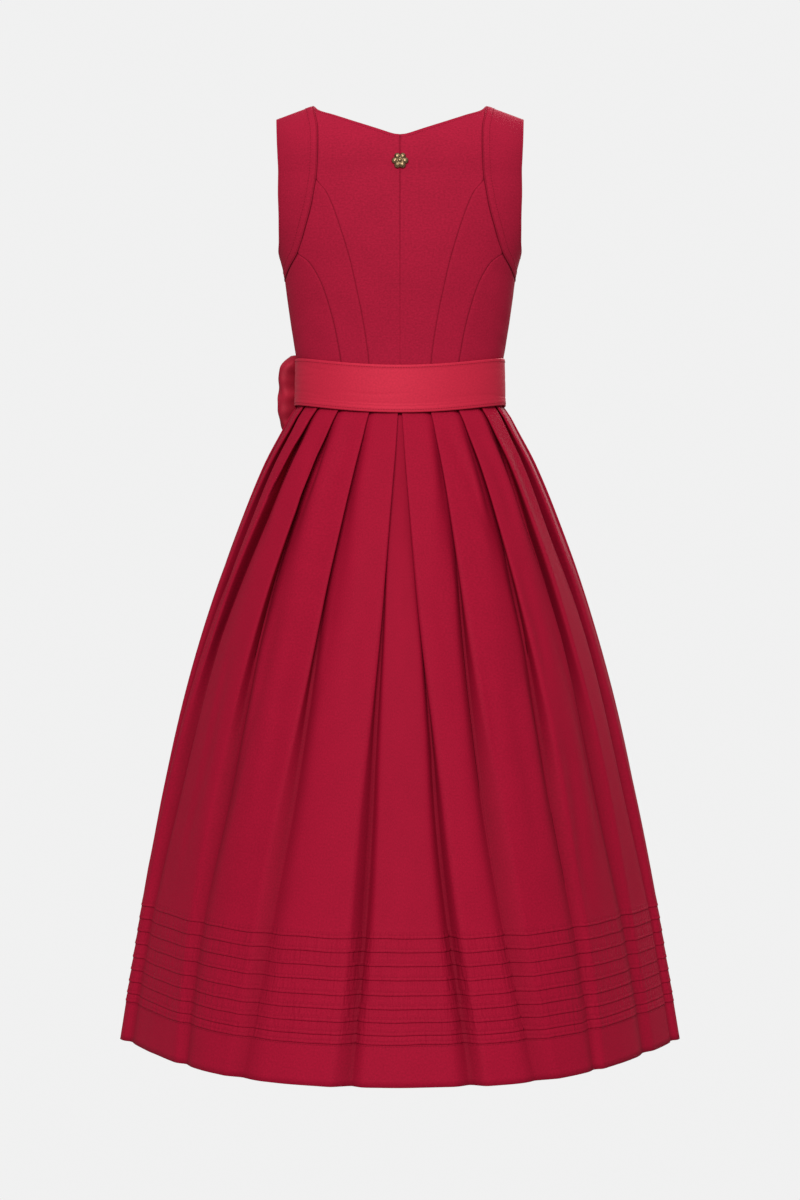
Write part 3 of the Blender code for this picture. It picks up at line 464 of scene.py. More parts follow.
def closed_cloth(name, middle, cut, wall, painted_shade=None):
    """A closed mesh of cloth with a rounded edge, either side of a grid of points whose rows run down
    and whose columns run towards greater angles. cut gives each point's place on the flat cloth, and
    painted_shade how much shade is painted on it, from 0 to 1, darkest in seams and under folds."""
    rows, columns = middle.shape[:2]
    across = np.gradient(middle, axis=1)
    along = np.gradient(middle, axis=0)
    normal = np.cross(across, along)
    normal /= np.maximum(np.linalg.norm(normal, axis=2, keepdims=True), 1e-12)
    outside = (middle + normal * wall / 2).reshape(-1, 3)
    inside = (middle - normal * wall / 2).reshape(-1, 3)
    number = np.arange(rows * columns).reshape(rows, columns)
    loop = np.concatenate([number[0, :-1], number[:-1, -1], number[-1, :0:-1], number[:0:-1, 0]])
    beyond = np.zeros_like(middle)
    beyond[0] -= along[0] / np.linalg.norm(along[0], axis=1, keepdims=True)
    beyond[-1] += along[-1] / np.linalg.norm(along[-1], axis=1, keepdims=True)
    beyond[:, 0] -= across[:, 0] / np.linalg.norm(across[:, 0], axis=1, keepdims=True)
    beyond[:, -1] += across[:, -1] / np.linalg.norm(across[:, -1], axis=1, keepdims=True)
    beyond = beyond.reshape(-1, 3)[loop]
    beyond /= np.linalg.norm(beyond, axis=1, keepdims=True)
    rim = middle.reshape(-1, 3)[loop] + beyond * wall * RIM
    points = np.concatenate([outside, inside, rim])
    quads = np.stack([number[:-1, :-1], number[:-1, 1:], number[1:, 1:], number[1:, :-1]], axis=-1)
    quads = quads.reshape(-1, 4)
    size = rows * columns
    ring = 2 * size + np.arange(len(loop))
    after = np.roll(loop, -1)
    ring_after = np.roll(ring, -1)
    outer_edge = np.stack([after, loop, ring, ring_after], axis=-1)
    inner_edge = np.stack([ring_after, ring, loop + size, after + size], axis=-1)
    faces = np.concatenate([quads, quads[:, ::-1] + size, outer_edge, inner_edge])
    mesh = bpy.data.meshes.new(name)
    mesh.from_pydata(points.tolist(), [], faces.tolist())
    mesh.shade_smooth()
    flat = cut.reshape(-1, 2)
    places = np.concatenate([flat, flat, flat[loop]])
    chart = mesh.uv_layers.new(name="cut")
    chart.data.foreach_set("uv", places[faces.reshape(-1)].reshape(-1).astype(np.float32))
    # Painted shade: on the outer face and the rim, none on the inside face.
    if painted_shade is not None:
        shade = painted_shade.reshape(-1)
        shaded(mesh, np.concatenate([shade, 0.0 * shade, shade[loop]]))
    piece = bpy.data.objects.new(name, mesh)
    bpy.context.scene.collection.objects.link(piece)
    return piece


def dressed(piece, material, node):
    """Gives a piece its material, and has it stand for its node of the part."""
    piece.data.materials.append(material)
    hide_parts(node)
    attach(piece, "root")


def maths(tree, operation, *values):
    """A maths node in a tree of nodes. Each value is a number or another node's output."""
    node = tree.nodes.new("ShaderNodeMath")
    node.operation = operation
    return filled(tree, node, dict(enumerate(values))).outputs[0]


def colours(tree, share, first, second, blend="MIX"):
    """A mix of two colours. Each value is a colour or another node's output."""
    node = tree.nodes.new("ShaderNodeMix")
    node.data_type = "RGBA"
    node.blend_type = blend
    return filled(tree, node, {0: share, 6: first, 7: second}).outputs[2]


SLUB_SCALE = 60.0
SLUB_STRETCH = 14.0
SLUB_HEIGHT = 2.5
MOTTLE_SCALE = 26.0
GRAIN_SCALE = 460.0
GRAIN = 2.2
WEAVE_SHADE = (0.10, 0.45)
# The colour that painted shade multiplies the cloth's colour by, where it is strongest.
PAINTED_SHADE_TONE = (0.30, 0.22, 0.26, 1.0)
SHEEN_TINT = (1.0, 0.10, 0.16, 1.0)
THREAD_HEIGHT = 0.15 * MM


def woven_group():
    """A plain weave seen close to: threads over and under each other, slubs, and a soft unevenness of
    the dye. It reads a place on the flat cloth in metres."""
    group = bpy.data.node_groups.new("woven_cloth", "ShaderNodeTree")
    group.interface.new_socket("Place", in_out="INPUT", socket_type="NodeSocketVector")
    for label in ("Threads", "Slub", "Mottle"):
        group.interface.new_socket(label, in_out="INPUT", socket_type="NodeSocketFloat")
    for label in ("Height", "Shade"):
        group.interface.new_socket(label, in_out="OUTPUT", socket_type="NodeSocketFloat")
    start = added(group, "NodeGroupInput").outputs

    def sums(operation, *values):
        return maths(group, operation, *values)

    def stretched_noise(scale, x, y, detail):
        turn = added(group, "ShaderNodeMapping", {"Vector": start["Place"], "Scale": (x, y, 1.0)})
        values = {"Vector": turn.outputs["Vector"], "Scale": scale, "Detail": detail}
        return added(group, "ShaderNodeTexNoise", values).outputs["Fac"]

    place = added(group, "ShaderNodeSeparateXYZ", {"Vector": start["Place"]}).outputs
    turns = sums("MULTIPLY", start["Threads"], math.pi)
    warp = sums("SINE", sums("MULTIPLY", place["X"], turns))
    weft = sums("SINE", sums("MULTIPLY", place["Y"], turns))
    weave = sums("MULTIPLY_ADD", sums("MULTIPLY", warp, weft), 0.5, 0.5)
    warp_slub = stretched_noise(SLUB_SCALE, SLUB_STRETCH, 1.0, 2.0)
    weft_slub = stretched_noise(SLUB_SCALE, 1.0, SLUB_STRETCH, 2.0)
    slub = sums("SUBTRACT", sums("ADD", warp_slub, weft_slub), 1.0)
    slub = sums("MULTIPLY", slub, start["Slub"])
    height = sums("ADD", weave, sums("MULTIPLY", slub, SLUB_HEIGHT))
    mottle = sums("SUBTRACT", stretched_noise(MOTTLE_SCALE, 1.0, 1.0, 4.0), 0.5)
    mottle = sums("MULTIPLY", mottle, start["Mottle"])
    grain = sums("SUBTRACT", stretched_noise(GRAIN_SCALE, 1.0, 1.0, 3.0), 0.5)
    mottle = sums("ADD", mottle, sums("MULTIPLY", grain, GRAIN))
    tone = sums("MULTIPLY_ADD", weave, *WEAVE_SHADE)
    shade = sums("ADD", sums("ADD", mottle, slub), tone)
    added(group, "NodeGroupOutput", {"Height": height, "Shade": shade})
    return group


weave_group = woven_group()


def cloth_material(
    name, colour, threads, slub, mottle, relief, depth, roughness, sheen, specular, gloss=0.0
):
    """A dyed cloth: its colour runs a little lighter and darker with the weave, its threads are a bump,
    and shade is painted into its colour in seams and under folds."""
    material = bpy.data.materials.new(name)
    material.use_nodes = True
    tree = material.node_tree
    place = added(tree, "ShaderNodeUVMap")
    place.uv_map = "cut"
    weave = tree.nodes.new("ShaderNodeGroup")
    weave.node_tree = weave_group
    values = {"Place": place.outputs["UV"], "Threads": threads, "Slub": slub, "Mottle": mottle}
    weave = filled(tree, weave, values).outputs
    dark = tuple(value * (1.0 - depth) for value in colour)
    light = tuple(min(1.0, value * (1.0 + depth)) for value in colour)
    tone = colours(tree, weave["Shade"], (*dark, 1.0), (*light, 1.0))
    # Painted shade, read from each piece's points, darkens the cloth's colour.
    painted_shade = added(tree, "ShaderNodeAttribute")
    painted_shade.attribute_name = "painted_shade"
    values = {"Strength": relief, "Distance": THREAD_HEIGHT, "Height": weave["Height"]}
    bump = added(tree, "ShaderNodeBump", values)
    bump.name = "threads"
    filled(tree, tree.nodes["Principled BSDF"], {
        "Base Color": colours(tree, painted_shade.outputs["Fac"], tone, PAINTED_SHADE_TONE, "MULTIPLY"),
        "Roughness": roughness,
        "Sheen Weight": sheen,
        "Sheen Roughness": 0.45,
        "Sheen Tint": SHEEN_TINT,
        "Specular IOR Level": specular,
        "Metallic": gloss,
        "Normal": bump.outputs["Normal"],
    })
    return material


bodice_cloth = cloth_material(
    "bodice_cloth", BODICE_RED, threads=1600.0, slub=0.35, mottle=0.5, relief=0.35, depth=0.16,
    roughness=0.78, sheen=0.05, specular=0.08,
)


def bodice_panel(name, coordinates, flat, sewn, ridge=ALLOWANCE_RISE, flush=0.0):
    """A panel and its mirror image. sewn tells which edges roll into a seam: left, right and top; flush
    how much less the left one does, where it is pressed open flat."""
    for side, sign in (("left", 1.0), ("right", -1.0)):
        middle = np.zeros((len(coordinates), len(coordinates[0]), 3))
        normals = np.zeros_like(middle)
        cut = np.zeros(middle.shape[:2] + (2,))
        for r, row in enumerate(coordinates):
            for c, (angle, distance) in enumerate(row):
                p, normal = bodice_frame(angle, distance)
                middle[r, c] = p
                normals[r, c] = normal * -bodice_crease(sign * angle, distance)
                cut[r, c] = (sign * angle * PANEL_REACH, -distance)
        lengths = np.linalg.norm(np.diff(middle, axis=1), axis=2)
        from_left = np.concatenate([np.zeros((len(middle), 1)), np.cumsum(lengths, axis=1)], axis=1)
        from_right = from_left[:, -1:] - from_left
        falls = np.linalg.norm(np.diff(middle, axis=0), axis=2)
        from_top = np.concatenate([np.zeros((1, middle.shape[1])), np.cumsum(falls, axis=0)])
        away = np.full(middle.shape[:2], 1.0)
        for edge, distance in (("left", from_left + flush), ("right", from_right), ("top", from_top)):
            if edge in sewn:
                away = np.minimum(away, distance)
        roll = SEAM_ROLL * np.clip(1.0 - away / SEAM_ROLL_WIDTH, 0.0, 1.0) ** 2
        raised = ridge * np.clip((ALLOWANCE + ALLOWANCE_EDGE - away) / ALLOWANCE_EDGE, 0.0, 1.0)
        frames = np.array([[bodice_frame(a, d)[1] for a, d in row] for row in coordinates])
        middle = middle + normals + frames * (raised - roll)[:, :, None]
        if sign < 0:
            middle = middle[:, ::-1] * np.array((-1.0, 1.0, 1.0))
            cut = cut[:, ::-1]
            away = away[:, ::-1]
        # Painted shade along the sewn edges, darkest at the seam.
        painted_shade = SEAM_SHADE * np.clip(1.0 - away / SEAM_SHADE_WIDTH, 0.0, 1.0)
        piece = closed_cloth("bodice_%s_%s" % (name, side), middle, cut, BODICE_WALL, painted_shade)
        dressed(piece, bodice_cloth, "%s_%s" % (name, side))


def sewn_panels():
    upper, rest = cut_seam(BAND_BACK, INNER_BACK[0][0])
    middle, lower = cut_seam(rest, OUTER_BACK[0][0])

    # Back centre: from the centre back to the band and the inner seam
    band = moved_seam(seam_nodes(upper, 40), -PIPED_SPACE)
    inner = started(seam_nodes(INNER_BACK, 90), SEAM_START)
    right = to_waist(band + moved_seam(inner, -FINE), 84)
    shares = edge_close(20)
    edge = FINE / CENTRE_REACH
    neck = spread(seam_nodes(NECKLINE_BACK, 60), shares)
    left = to_waist([(edge, neck[0][1]), waist_node(edge)], 84)
    neck[0], neck[-1] = left[0], right[0]
    waist_panel(
        "back_centre", neck, left, right, shares,
        flat=(0.085, 0.385, 0.0215), sewn=("left", "right"), flush=0.9 * MM,
    )

    # Back side: it narrows to a point where the inner seam leaves the band
    left = to_waist(moved_seam(inner, FINE), 76)
    outer = started(seam_nodes(OUTER_BACK, 70), SEAM_START)
    along_band = moved_seam(started(seam_nodes(middle, 40), SEAM_START), -PIPED_SPACE)
    right = to_waist(along_band + moved_seam(outer, -FINE), 76)
    shares = edge_close(10)
    top = spread([left[0], right[0]], shares)
    waist_panel(
        "back_side", top, left, right, shares, flat=(0.062, 0.262, 0.0104), sewn=("left", "right"),
    )

    # Side back: from the outer seam to the seam under the arm
    left = to_waist(moved_seam(outer, FINE), 46)
    edge = math.pi / 2 - FINE / SIDE_REACH
    shares = edge_close(16)
    top = spread(moved_seam(seam_nodes(lower, 60), -PIPED_SPACE), shares)
    right = to_waist([(edge, top[-1][1]), waist_node(edge)], 46)
    top[0], top[-1] = left[0], right[0]
    waist_panel(
        "side_back", top, left, right, shares,
        flat=(0.112, 0.170, 0.0128), sewn=("left", "right", "top"),
    )

    # Front side: from the seam under the arm to the front princess seam
    upper, lower = cut_seam(BAND_FRONT, PRINCESS_FRONT[0][0])
    princess = started(seam_nodes(PRINCESS_FRONT, 80), SEAM_START)
    right = to_waist(moved_seam(princess, -FINE), 50)
    edge = math.pi / 2 + FINE / SIDE_REACH
    under = list(reversed(moved_seam(seam_nodes(lower, 60), PIPED_SPACE)))
    shares = edge_close(18)
    top = spread(under, shares)
    left = to_waist([(edge, under[0][1]), waist_node(edge)], 50)
    top[0], top[-1] = left[0], right[0]
    waist_panel(
        "front_side", top, left, right, shares,
        flat=(0.118, 0.196, 0.0152), sewn=("left", "right", "top"),
    )

    # Front centre: the band and the princess seam on one side, neckline and centre front on the other
    band = moved_seam(started(seam_nodes(upper, 60), STRAP_START), PIPED_SPACE)
    left = spread(band, np.linspace(0, 1, 44)) + to_waist(moved_seam(princess, FINE), 48)
    edge = math.pi - FINE / CENTRE_REACH
    neck = started(list(reversed(seam_nodes(NECKLINE_FRONT, 80))), STRAP_START)
    neck[-1] = (edge, neck[-1][1])
    right = spread(neck, np.linspace(0, 1, 49))
    right += to_waist([neck[-1], waist_node(edge)], len(left) - len(right) + 1)[1:]
    bodice_panel(
        "front_centre", [spread([a, b], shares) for a, b in zip(left, right)],
        flat=(0.125, 0.350, 0.0210), sewn=("left",),
    )


sewn_panels()


# The stitches along the bodice's edges: the neckline is turned under and stitched down close to its edge,
# in a thread of nearly the cloth's own red. Each stitch stands a little out of the cloth.
STITCH_PITCH = 3.2 * MM
STITCH_LENGTH = 2.4 * MM
THREAD_WIDTH = 0.55 * MM
THREAD_RED = (0.235, 0.0050, 0.0205)
EDGE_STITCH = 4.0 * MM
THREAD_LIFT = 0.10 * MM
BESIDE_SEAM = 0.8 * MM


def stitching_nodes():
    """Geometry nodes that set a stitch at each pitch along the edges that they are given."""
    group = bpy.data.node_groups.new("stitching", "GeometryNodeTree")
    for label, kind in (
        ("Geometry", "Geometry"),
        ("Pitch", "Float"),
        ("Size", "Vector"),
        ("Thread", "Material"),
    ):
        group.interface.new_socket(label, in_out="INPUT", socket_type="NodeSocket" + kind)
    group.interface.new_socket("Geometry", in_out="OUTPUT", socket_type="NodeSocketGeometry")
    start = added(group, "NodeGroupInput").outputs
    curve = added(group, "GeometryNodeMeshToCurve", {"Mesh": start["Geometry"]}).outputs["Curve"]
    spots = group.nodes.new("GeometryNodeCurveToPoints")
    spots.mode = "LENGTH"
    filled(group, spots, {"Curve": curve, "Length": start["Pitch"]})
    stitch = added(group, "GeometryNodeMeshIcoSphere", {"Radius": 1.0, "Subdivisions": 1})
    values = {"Vector": spots.outputs["Tangent"]}
    lie = added(group, "FunctionNodeAlignRotationToVector", values)
    lie.axis = "Z"
    placed = added(group, "GeometryNodeInstanceOnPoints", {
        "Points": spots.outputs["Points"],
        "Instance": stitch.outputs["Mesh"],
        "Rotation": lie.outputs["Rotation"],
        "Scale": start["Size"],
    })
    piece = placed.outputs["Instances"]
    for kind in ("GeometryNodeRealizeInstances", "GeometryNodeSetShadeSmooth", "GeometryNodeSetMaterial"):
        node = added(group, kind, {"Geometry": piece})
        piece = node.outputs["Geometry"]
    filled(group, node, {"Material": start["Thread"]})
    added(group, "NodeGroupOutput", {"Geometry": piece})
    return group


def thread_material():
    material = bpy.data.materials.new("sewing_thread")
    material.use_nodes = True
    tree = material.node_tree
    place = added(tree, "ShaderNodeTexCoord").outputs["Object"]
    cloud = added(tree, "ShaderNodeTexNoise", {"Vector": place, "Scale": 300.0})
    dark, light = ((*(share * value for value in THREAD_RED), 1.0) for share in (0.8, 1.2))
    filled(tree, tree.nodes["Principled BSDF"], {
        "Base Color": colours(tree, cloud.outputs["Fac"], dark, light),
        "Roughness": 0.60,
        "Specular IOR Level": 0.15,
    })
    return material


stitching = stitching_nodes()
thread = thread_material()


def sewn_lines(name, routes):
    """A row of stitches along each route, all in one mesh."""
    points = [tuple(p) for route in routes for p in route]
    edges, first = [], 0
    for route in routes:
        edges.extend((i, i + 1) for i in range(first, first + len(route) - 1))
        first += len(route)
    guide = bpy.data.meshes.new(name + "_route")
    guide.from_pydata(points, edges, [])
    piece = bpy.data.objects.new(name, guide)
    bpy.context.scene.collection.objects.link(piece)
    modifier = piece.modifiers.new("stitching", "NODES")
    modifier.node_group = stitching
    size = (THREAD_WIDTH / 2, THREAD_WIDTH / 2, STITCH_LENGTH / 2)
    values = {"Pitch": STITCH_PITCH, "Size": size, "Thread": thread}
    for item in stitching.interface.items_tree:
        if item.in_out == "INPUT" and item.name in values:
            modifier[item.identifier] = values[item.name]
    bpy.context.view_layer.update()
    seen = piece.evaluated_get(bpy.context.evaluated_depsgraph_get())
    mesh = bpy.data.meshes.new_from_object(seen)
    piece.modifiers.clear()
    piece.data = mesh
    mesh.name = name
    bpy.data.meshes.remove(guide)
    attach(piece, "root")


def bodice_route(nodes, sign, out):
    """A route over the bodice's surface, on one side of the body, out from the cloth by a given height."""
    route = []
    for angle, distance in nodes:
        p, normal = bodice_frame(angle, distance)
        p = p + normal * (BODICE_WALL / 2 + out + THREAD_LIFT - bodice_crease(sign * angle, distance))
        route.append((sign * p.x, p.y, p.z))
    return route


def neckline_stitches():
    back = moved_seam(seam_nodes(NECKLINE_BACK, 60), -EDGE_STITCH)
    front = moved_seam(seam_nodes(NECKLINE_FRONT, 80), EDGE_STITCH)
    routes = [bodice_route(line, sign, 0.0) for line in (back[:-2], front[2:-2]) for sign in (1.0, -1.0)]
    sewn_lines("neckline_stitches", routes)


neckline_stitches()


# The armhole bands: wide bands of the same cloth from the shoulder seam to the seam under the arm. The
# seam allowance inside shows as a ridge beside the piping, and the armhole edge is turned and stitched.
BAND_RIDGE = 0.45 * MM
ARMHOLE_BACK = (
    # level, degrees
    (0.000, 69.5),
    (-0.040, 67.0),
    (-0.065, 66.0),
    (-0.090, 65.2),
    (-0.140, 67.2),
    (-0.172, 76.0),
    (-0.186, 90.0),
)
ARMHOLE_FRONT = (
    # level, degrees
    (0.000, 110.5),
    (-0.040, 114.0),
    (-0.065, 117.0),
    (-0.100, 119.0),
    (-0.140, 115.5),
    (-0.172, 104.0),
    (-0.186, 90.0),
)


def armhole_bands():
    rows = 92
    shares = edge_close(12)
    for name, inside, armhole, sign in (
        ("band_back", BAND_BACK, ARMHOLE_BACK, 1.0),
        ("band_front", BAND_FRONT, ARMHOLE_FRONT, -1.0),
    ):
        inner = moved_seam(seam_nodes(inside, rows), sign * PIPED_SPACE)
        outer = seam_nodes(armhole, rows)
        side = math.pi / 2 - sign * FINE / SIDE_REACH
        inner[0] = (inner[0][0], FINE)
        outer[0] = (outer[0][0], FINE)
        inner[-1] = (side, inner[-1][1])
        outer[-1] = (side, outer[-1][1])
        grid = [spread([near, far], shares) for near, far in zip(inner, outer)]
        if sign < 0:
            grid = [list(reversed(line)) for line in grid]
        bodice_panel(
            name, grid, flat=(0.090, 0.285, 0.0118), sewn=("left",) if sign > 0 else ("right",),
            ridge=BAND_RIDGE,
        )


def band_stitches():
    """The armhole's turned edge is stitched down, and so is the seam allowance beside the piping."""
    across = PIPED_SPACE + ALLOWANCE - BESIDE_SEAM
    routes = []
    for inside, armhole, sign in ((BAND_BACK, ARMHOLE_BACK, 1.0), (BAND_FRONT, ARMHOLE_FRONT, -1.0)):
        edge = moved_seam(seam_nodes(armhole, 90), -sign * EDGE_STITCH)[1:-1]
        beside = moved_seam(seam_nodes(inside, 90), sign * across)[1:-1]
        for side in (1.0, -1.0):
            routes.append(bodice_route(edge, side, 0.0))
            routes.append(bodice_route(beside, side, BAND_RIDGE))
    sewn_lines("band_stitches", routes)


armhole_bands()
band_stitches()


# The piping: a cord covered with a bias strip of the bodice cloth, caught in the seam between the bands
# and the panels, one length a side from the back of the shoulder to its front, under the arm.
PIPING_LIFT = 0.30 * MM
# PIPING_SHADE: shade painted along one side of the cord.
PIPING_SHADE = 0.80
PIPING_SIDES = 10
PIPING_CUT = (2.8 * MM, 0.75 * MM)


def finished(work, name):
    """A piece from a mesh that is being worked on, with its faces turned outward."""
    bmesh.ops.recalc_face_normals(work, faces=work.faces)
    mesh = bpy.data.meshes.new(name)
    work.to_mesh(mesh)
    work.free()
    mesh.shade_smooth()
    piece = bpy.data.objects.new(name, mesh)
    bpy.context.scene.collection.objects.link(piece)
    return piece


def piping(side, sign):
    back = seam_nodes(BAND_BACK, 90)
    front = list(reversed(seam_nodes(BAND_FRONT, 90)))
    frames = [bodice_frame(angle, max(distance, SEAM)) for angle, distance in back + front[1:]]
    route = np.array([p + normal * PIPING_LIFT for p, normal in frames])
    outward = np.array([normal for p, normal in frames])
    tangent = np.gradient(route, axis=0)
    tangent /= np.linalg.norm(tangent, axis=1, keepdims=True)
    sideways = np.cross(tangent, outward)
    sideways /= np.linalg.norm(sideways, axis=1, keepdims=True)
    upright = np.cross(sideways, tangent)
    turns = np.linspace(0, 2 * math.pi, PIPING_SIDES, endpoint=False)
    beside = sideways[:, None] * np.cos(turns)[None, :, None]
    above = upright[:, None] * np.sin(turns)[None, :, None]
    points = (route[:, None] + (beside + above) * PIPING_RADIUS).reshape(-1, 3)
    work = bmesh.new()
    verts = [work.verts.new((sign * p[0], p[1], p[2])) for p in points]
    chart = work.loops.layers.uv.new("cut")
    for i in range(len(route) - 1):
        for j in range(PIPING_SIDES):
            k = (j + 1) % PIPING_SIDES
            corners = [(i, j), (i + 1, j), (i + 1, k), (i, k)]
            face = work.faces.new([verts[a * PIPING_SIDES + b] for a, b in corners])
            for loop, (a, b) in zip(face.loops, corners):
                loop[chart].uv = (a * PIPING_CUT[0], (b if b or j == 0 else PIPING_SIDES) * PIPING_CUT[1])
    for i in (0, len(route) - 1):
        work.faces.new([verts[i * PIPING_SIDES + j] for j in range(PIPING_SIDES)])
    cord = finished(work, "bodice_piping_" + side)
    # Painted shade on one side of the cord.
    shaded(cord.data, np.tile(PIPING_SHADE * np.clip(-2.0 * np.cos(turns), 0.0, 1.0), len(route)))
    dressed(cord, bodice_cloth, "piping_" + side)


piping("left", 1.0)
piping("right", -1.0)


# The placket: a narrow folded strip on the centre front edge, stitched down along both sides, with six
# domed metal buttons sewn through it.
PLACKET_HALF = 11 * MM
PLACKET_TOP = -0.1585
PLACKET_BOTTOM = -0.3212
BUTTONS = 6
BUTTON_TOP = -0.176
BUTTON_SPACING = 26.5 * MM
PLACKET_EDGE = 2.5 * MM
PLACKET_DROP = 0.35 * MM
PLACKET_SWELL = 0.25 * MM
BUTTON_STEPS = 36
BUTTON_BEADS = 12
BEAD_DEPTH = 0.012
BEADED = (4.5, 5.4)
BRASS_DARK = (0.045, 0.030, 0.020, 1.0)
BRASS_LIGHT = (1.7 * 0.245, 1.7 * 0.160, 1.7 * 0.085, 1.0)
BUTTON_PROFILE = (
    # radius, height, in millimetres
    (0.0, 3.6),
    (0.7, 3.55),
    (1.1, 3.2),
    (1.5, 3.3),
    (2.6, 3.05),
    (3.4, 2.6),
    (3.8, 2.1),
    (4.1, 2.1),
    (4.6, 2.45),
    (5.2, 2.35),
    (5.5, 1.8),
    (5.3, 1.0),
    (4.4, 0.5),
    (0.0, 0.4),
)


def brass_material():
    """Cast brass whose colour and gloss run darker and brighter at random, with a fine bump."""
    material = bpy.data.materials.new("antique_brass")
    material.use_nodes = True
    tree = material.node_tree
    place = added(tree, "ShaderNodeTexCoord").outputs["Object"]
    values = {"Vector": place, "Scale": 900.0, "Detail": 4.0}
    cloud = added(tree, "ShaderNodeTexNoise", values).outputs["Fac"]
    tone = added(tree, "ShaderNodeValToRGB", {"Fac": cloud})
    dark, light = tone.color_ramp.elements
    dark.position = 0.35
    dark.color = BRASS_DARK
    light.position = 0.62
    light.color = BRASS_LIGHT
    gloss = added(tree, "ShaderNodeMapRange", {"Value": cloud, "To Min": 0.55, "To Max": 0.28})
    bump = added(tree, "ShaderNodeBump", {"Height": cloud, "Strength": 0.4, "Distance": 0.10 * MM})
    filled(tree, tree.nodes["Principled BSDF"], {
        "Base Color": tone.outputs["Color"],
        "Metallic": 1.0,
        "Roughness": gloss.outputs["Result"],
        "Normal": bump.outputs["Normal"],
    })
    return material


brass = brass_material()


def placket():
    rows, shares = 90, edge_close(7)
    middle = np.zeros((rows, len(shares), 3))
    cut = np.zeros((rows, len(shares), 2))
    for r in range(rows):
        distance = down(mix(PLACKET_TOP, PLACKET_BOTTOM, r / (rows - 1)))
        for c, share in enumerate(shares):
            aside = (2 * share - 1) * PLACKET_HALF
            p, normal = bodice_frame(math.pi + aside / PLACKET_REACH, distance)
            edge = 1.0 - min(1.0, (PLACKET_HALF - abs(aside)) / PLACKET_EDGE)
            swell = PLACKET_SWELL * math.sin(2 * math.pi * distance / BUTTON_SPACING + 0.6) * (1 - edge)
            middle[r, c] = p + normal * (BODICE_WALL + 2 * SEAM - PLACKET_DROP * edge**2 + swell)
            cut[r, c] = (aside, -distance)
    piece = closed_cloth("front_placket", middle, cut, BODICE_WALL)
    dressed(piece, bodice_cloth, "placket")


def placket_stitches():
    routes = []
    for aside in (-0.8 * PLACKET_HALF, 0.8 * PLACKET_HALF):
        route = []
        for level in np.linspace(PLACKET_TOP - 2 * MM, PLACKET_BOTTOM + 2 * MM, 80):
            p, normal = bodice_frame(math.pi + aside / PLACKET_REACH, down(level))
            route.append(p + normal * (1.5 * BODICE_WALL + 2 * SEAM - THREAD_LIFT))
        routes.append(route)
    sewn_lines("placket_stitches", routes)


def joined_rings(work, rings, count):
    """Faces between rings of vertices that follow each other; a ring may be a single vertex."""
    for first, second in zip(rings, rings[1:]):
        for i in range(count):
            j = (i + 1) % count
            corners = [first[i % len(first)], second[i % len(second)]]
            corners += [second[j % len(second)], first[j % len(first)]]
            work.faces.new(list(dict.fromkeys(corners)))


def turned_button(number):
    p, normal = bodice_frame(math.pi, down(BUTTON_TOP - number * BUTTON_SPACING))
    seat = p + normal * (1.5 * BODICE_WALL + 2 * SEAM)
    turn = normal.to_track_quat("Z", "Y")
    work = bmesh.new()
    rings = []
    for radius, height in BUTTON_PROFILE:
        if radius == 0.0:
            rings.append([work.verts.new(seat + normal * (height * MM))])
            continue
        beaded = BEAD_DEPTH if BEADED[0] < radius < BEADED[1] else 0.0
        ring = []
        for i in range(BUTTON_STEPS):
            around = 2 * math.pi * i / BUTTON_STEPS
            out = radius * (1.0 + beaded * math.cos(BUTTON_BEADS * around))
            place = Vector((out * math.cos(around), out * math.sin(around), height)) * MM
            ring.append(work.verts.new(seat + turn @ place))
        rings.append(ring)
    joined_rings(work, rings, BUTTON_STEPS)
    button = finished(work, "metal_button_%d" % (number + 1))
    dressed(button, brass, "button_%d" % (number + 1))


placket()
placket_stitches()
for number in range(BUTTONS):
    turned_button(number)


# The skirt: three widths of crimson cotton, laid in twenty knife pleats at the waist that open into
# waves towards the hem. Nine tucks are pressed down above a deep plain hem.
SKIRT_WALL = 1.0 * MM
SASH_BOTTOM = -0.373
HEM = -1.163
KNEE = -0.650
LAP_AT_WAIST = 0.80
RISE_AT_WAIST = 2.8 * MM
PLEAT_COURSE = (
    # level, share of the change from the waist's lap to the hem's, of the rise at the hips, at the tucks
    (-0.352, 0.00, 0.00, 0.00),
    (-0.384, 0.20, 0.22, 0.00),
    (-0.446, 0.45, 0.75, 0.00),
    (-0.540, 0.66, 1.00, 0.00),
    (-0.680, 0.86, 0.88, 0.12),
    (-0.840, 1.00, 0.50, 0.50),
    (-0.985, 1.00, 0.00, 1.00),
    (-1.163, 1.00, 0.00, 0.50),
)
OPEN_FROM = 0.34
OPEN_OVER = 0.44
CORNER = 2.2 * MM
FOLD_GAP = 2.2 * MM
VALLEY = 1.0 * MM
# Shade painted into the skirt's colour in the pleats' valleys (VALLEY_SHADE, where they open) and under
# their laps (LAP_SHADE), less for folds whose rise is below DEEP_RISE.
VALLEY_SHADE = 0.50
LAP_SHADE = 0.15
DEEP_RISE = 0.0135
OPEN_GAP = 0.12
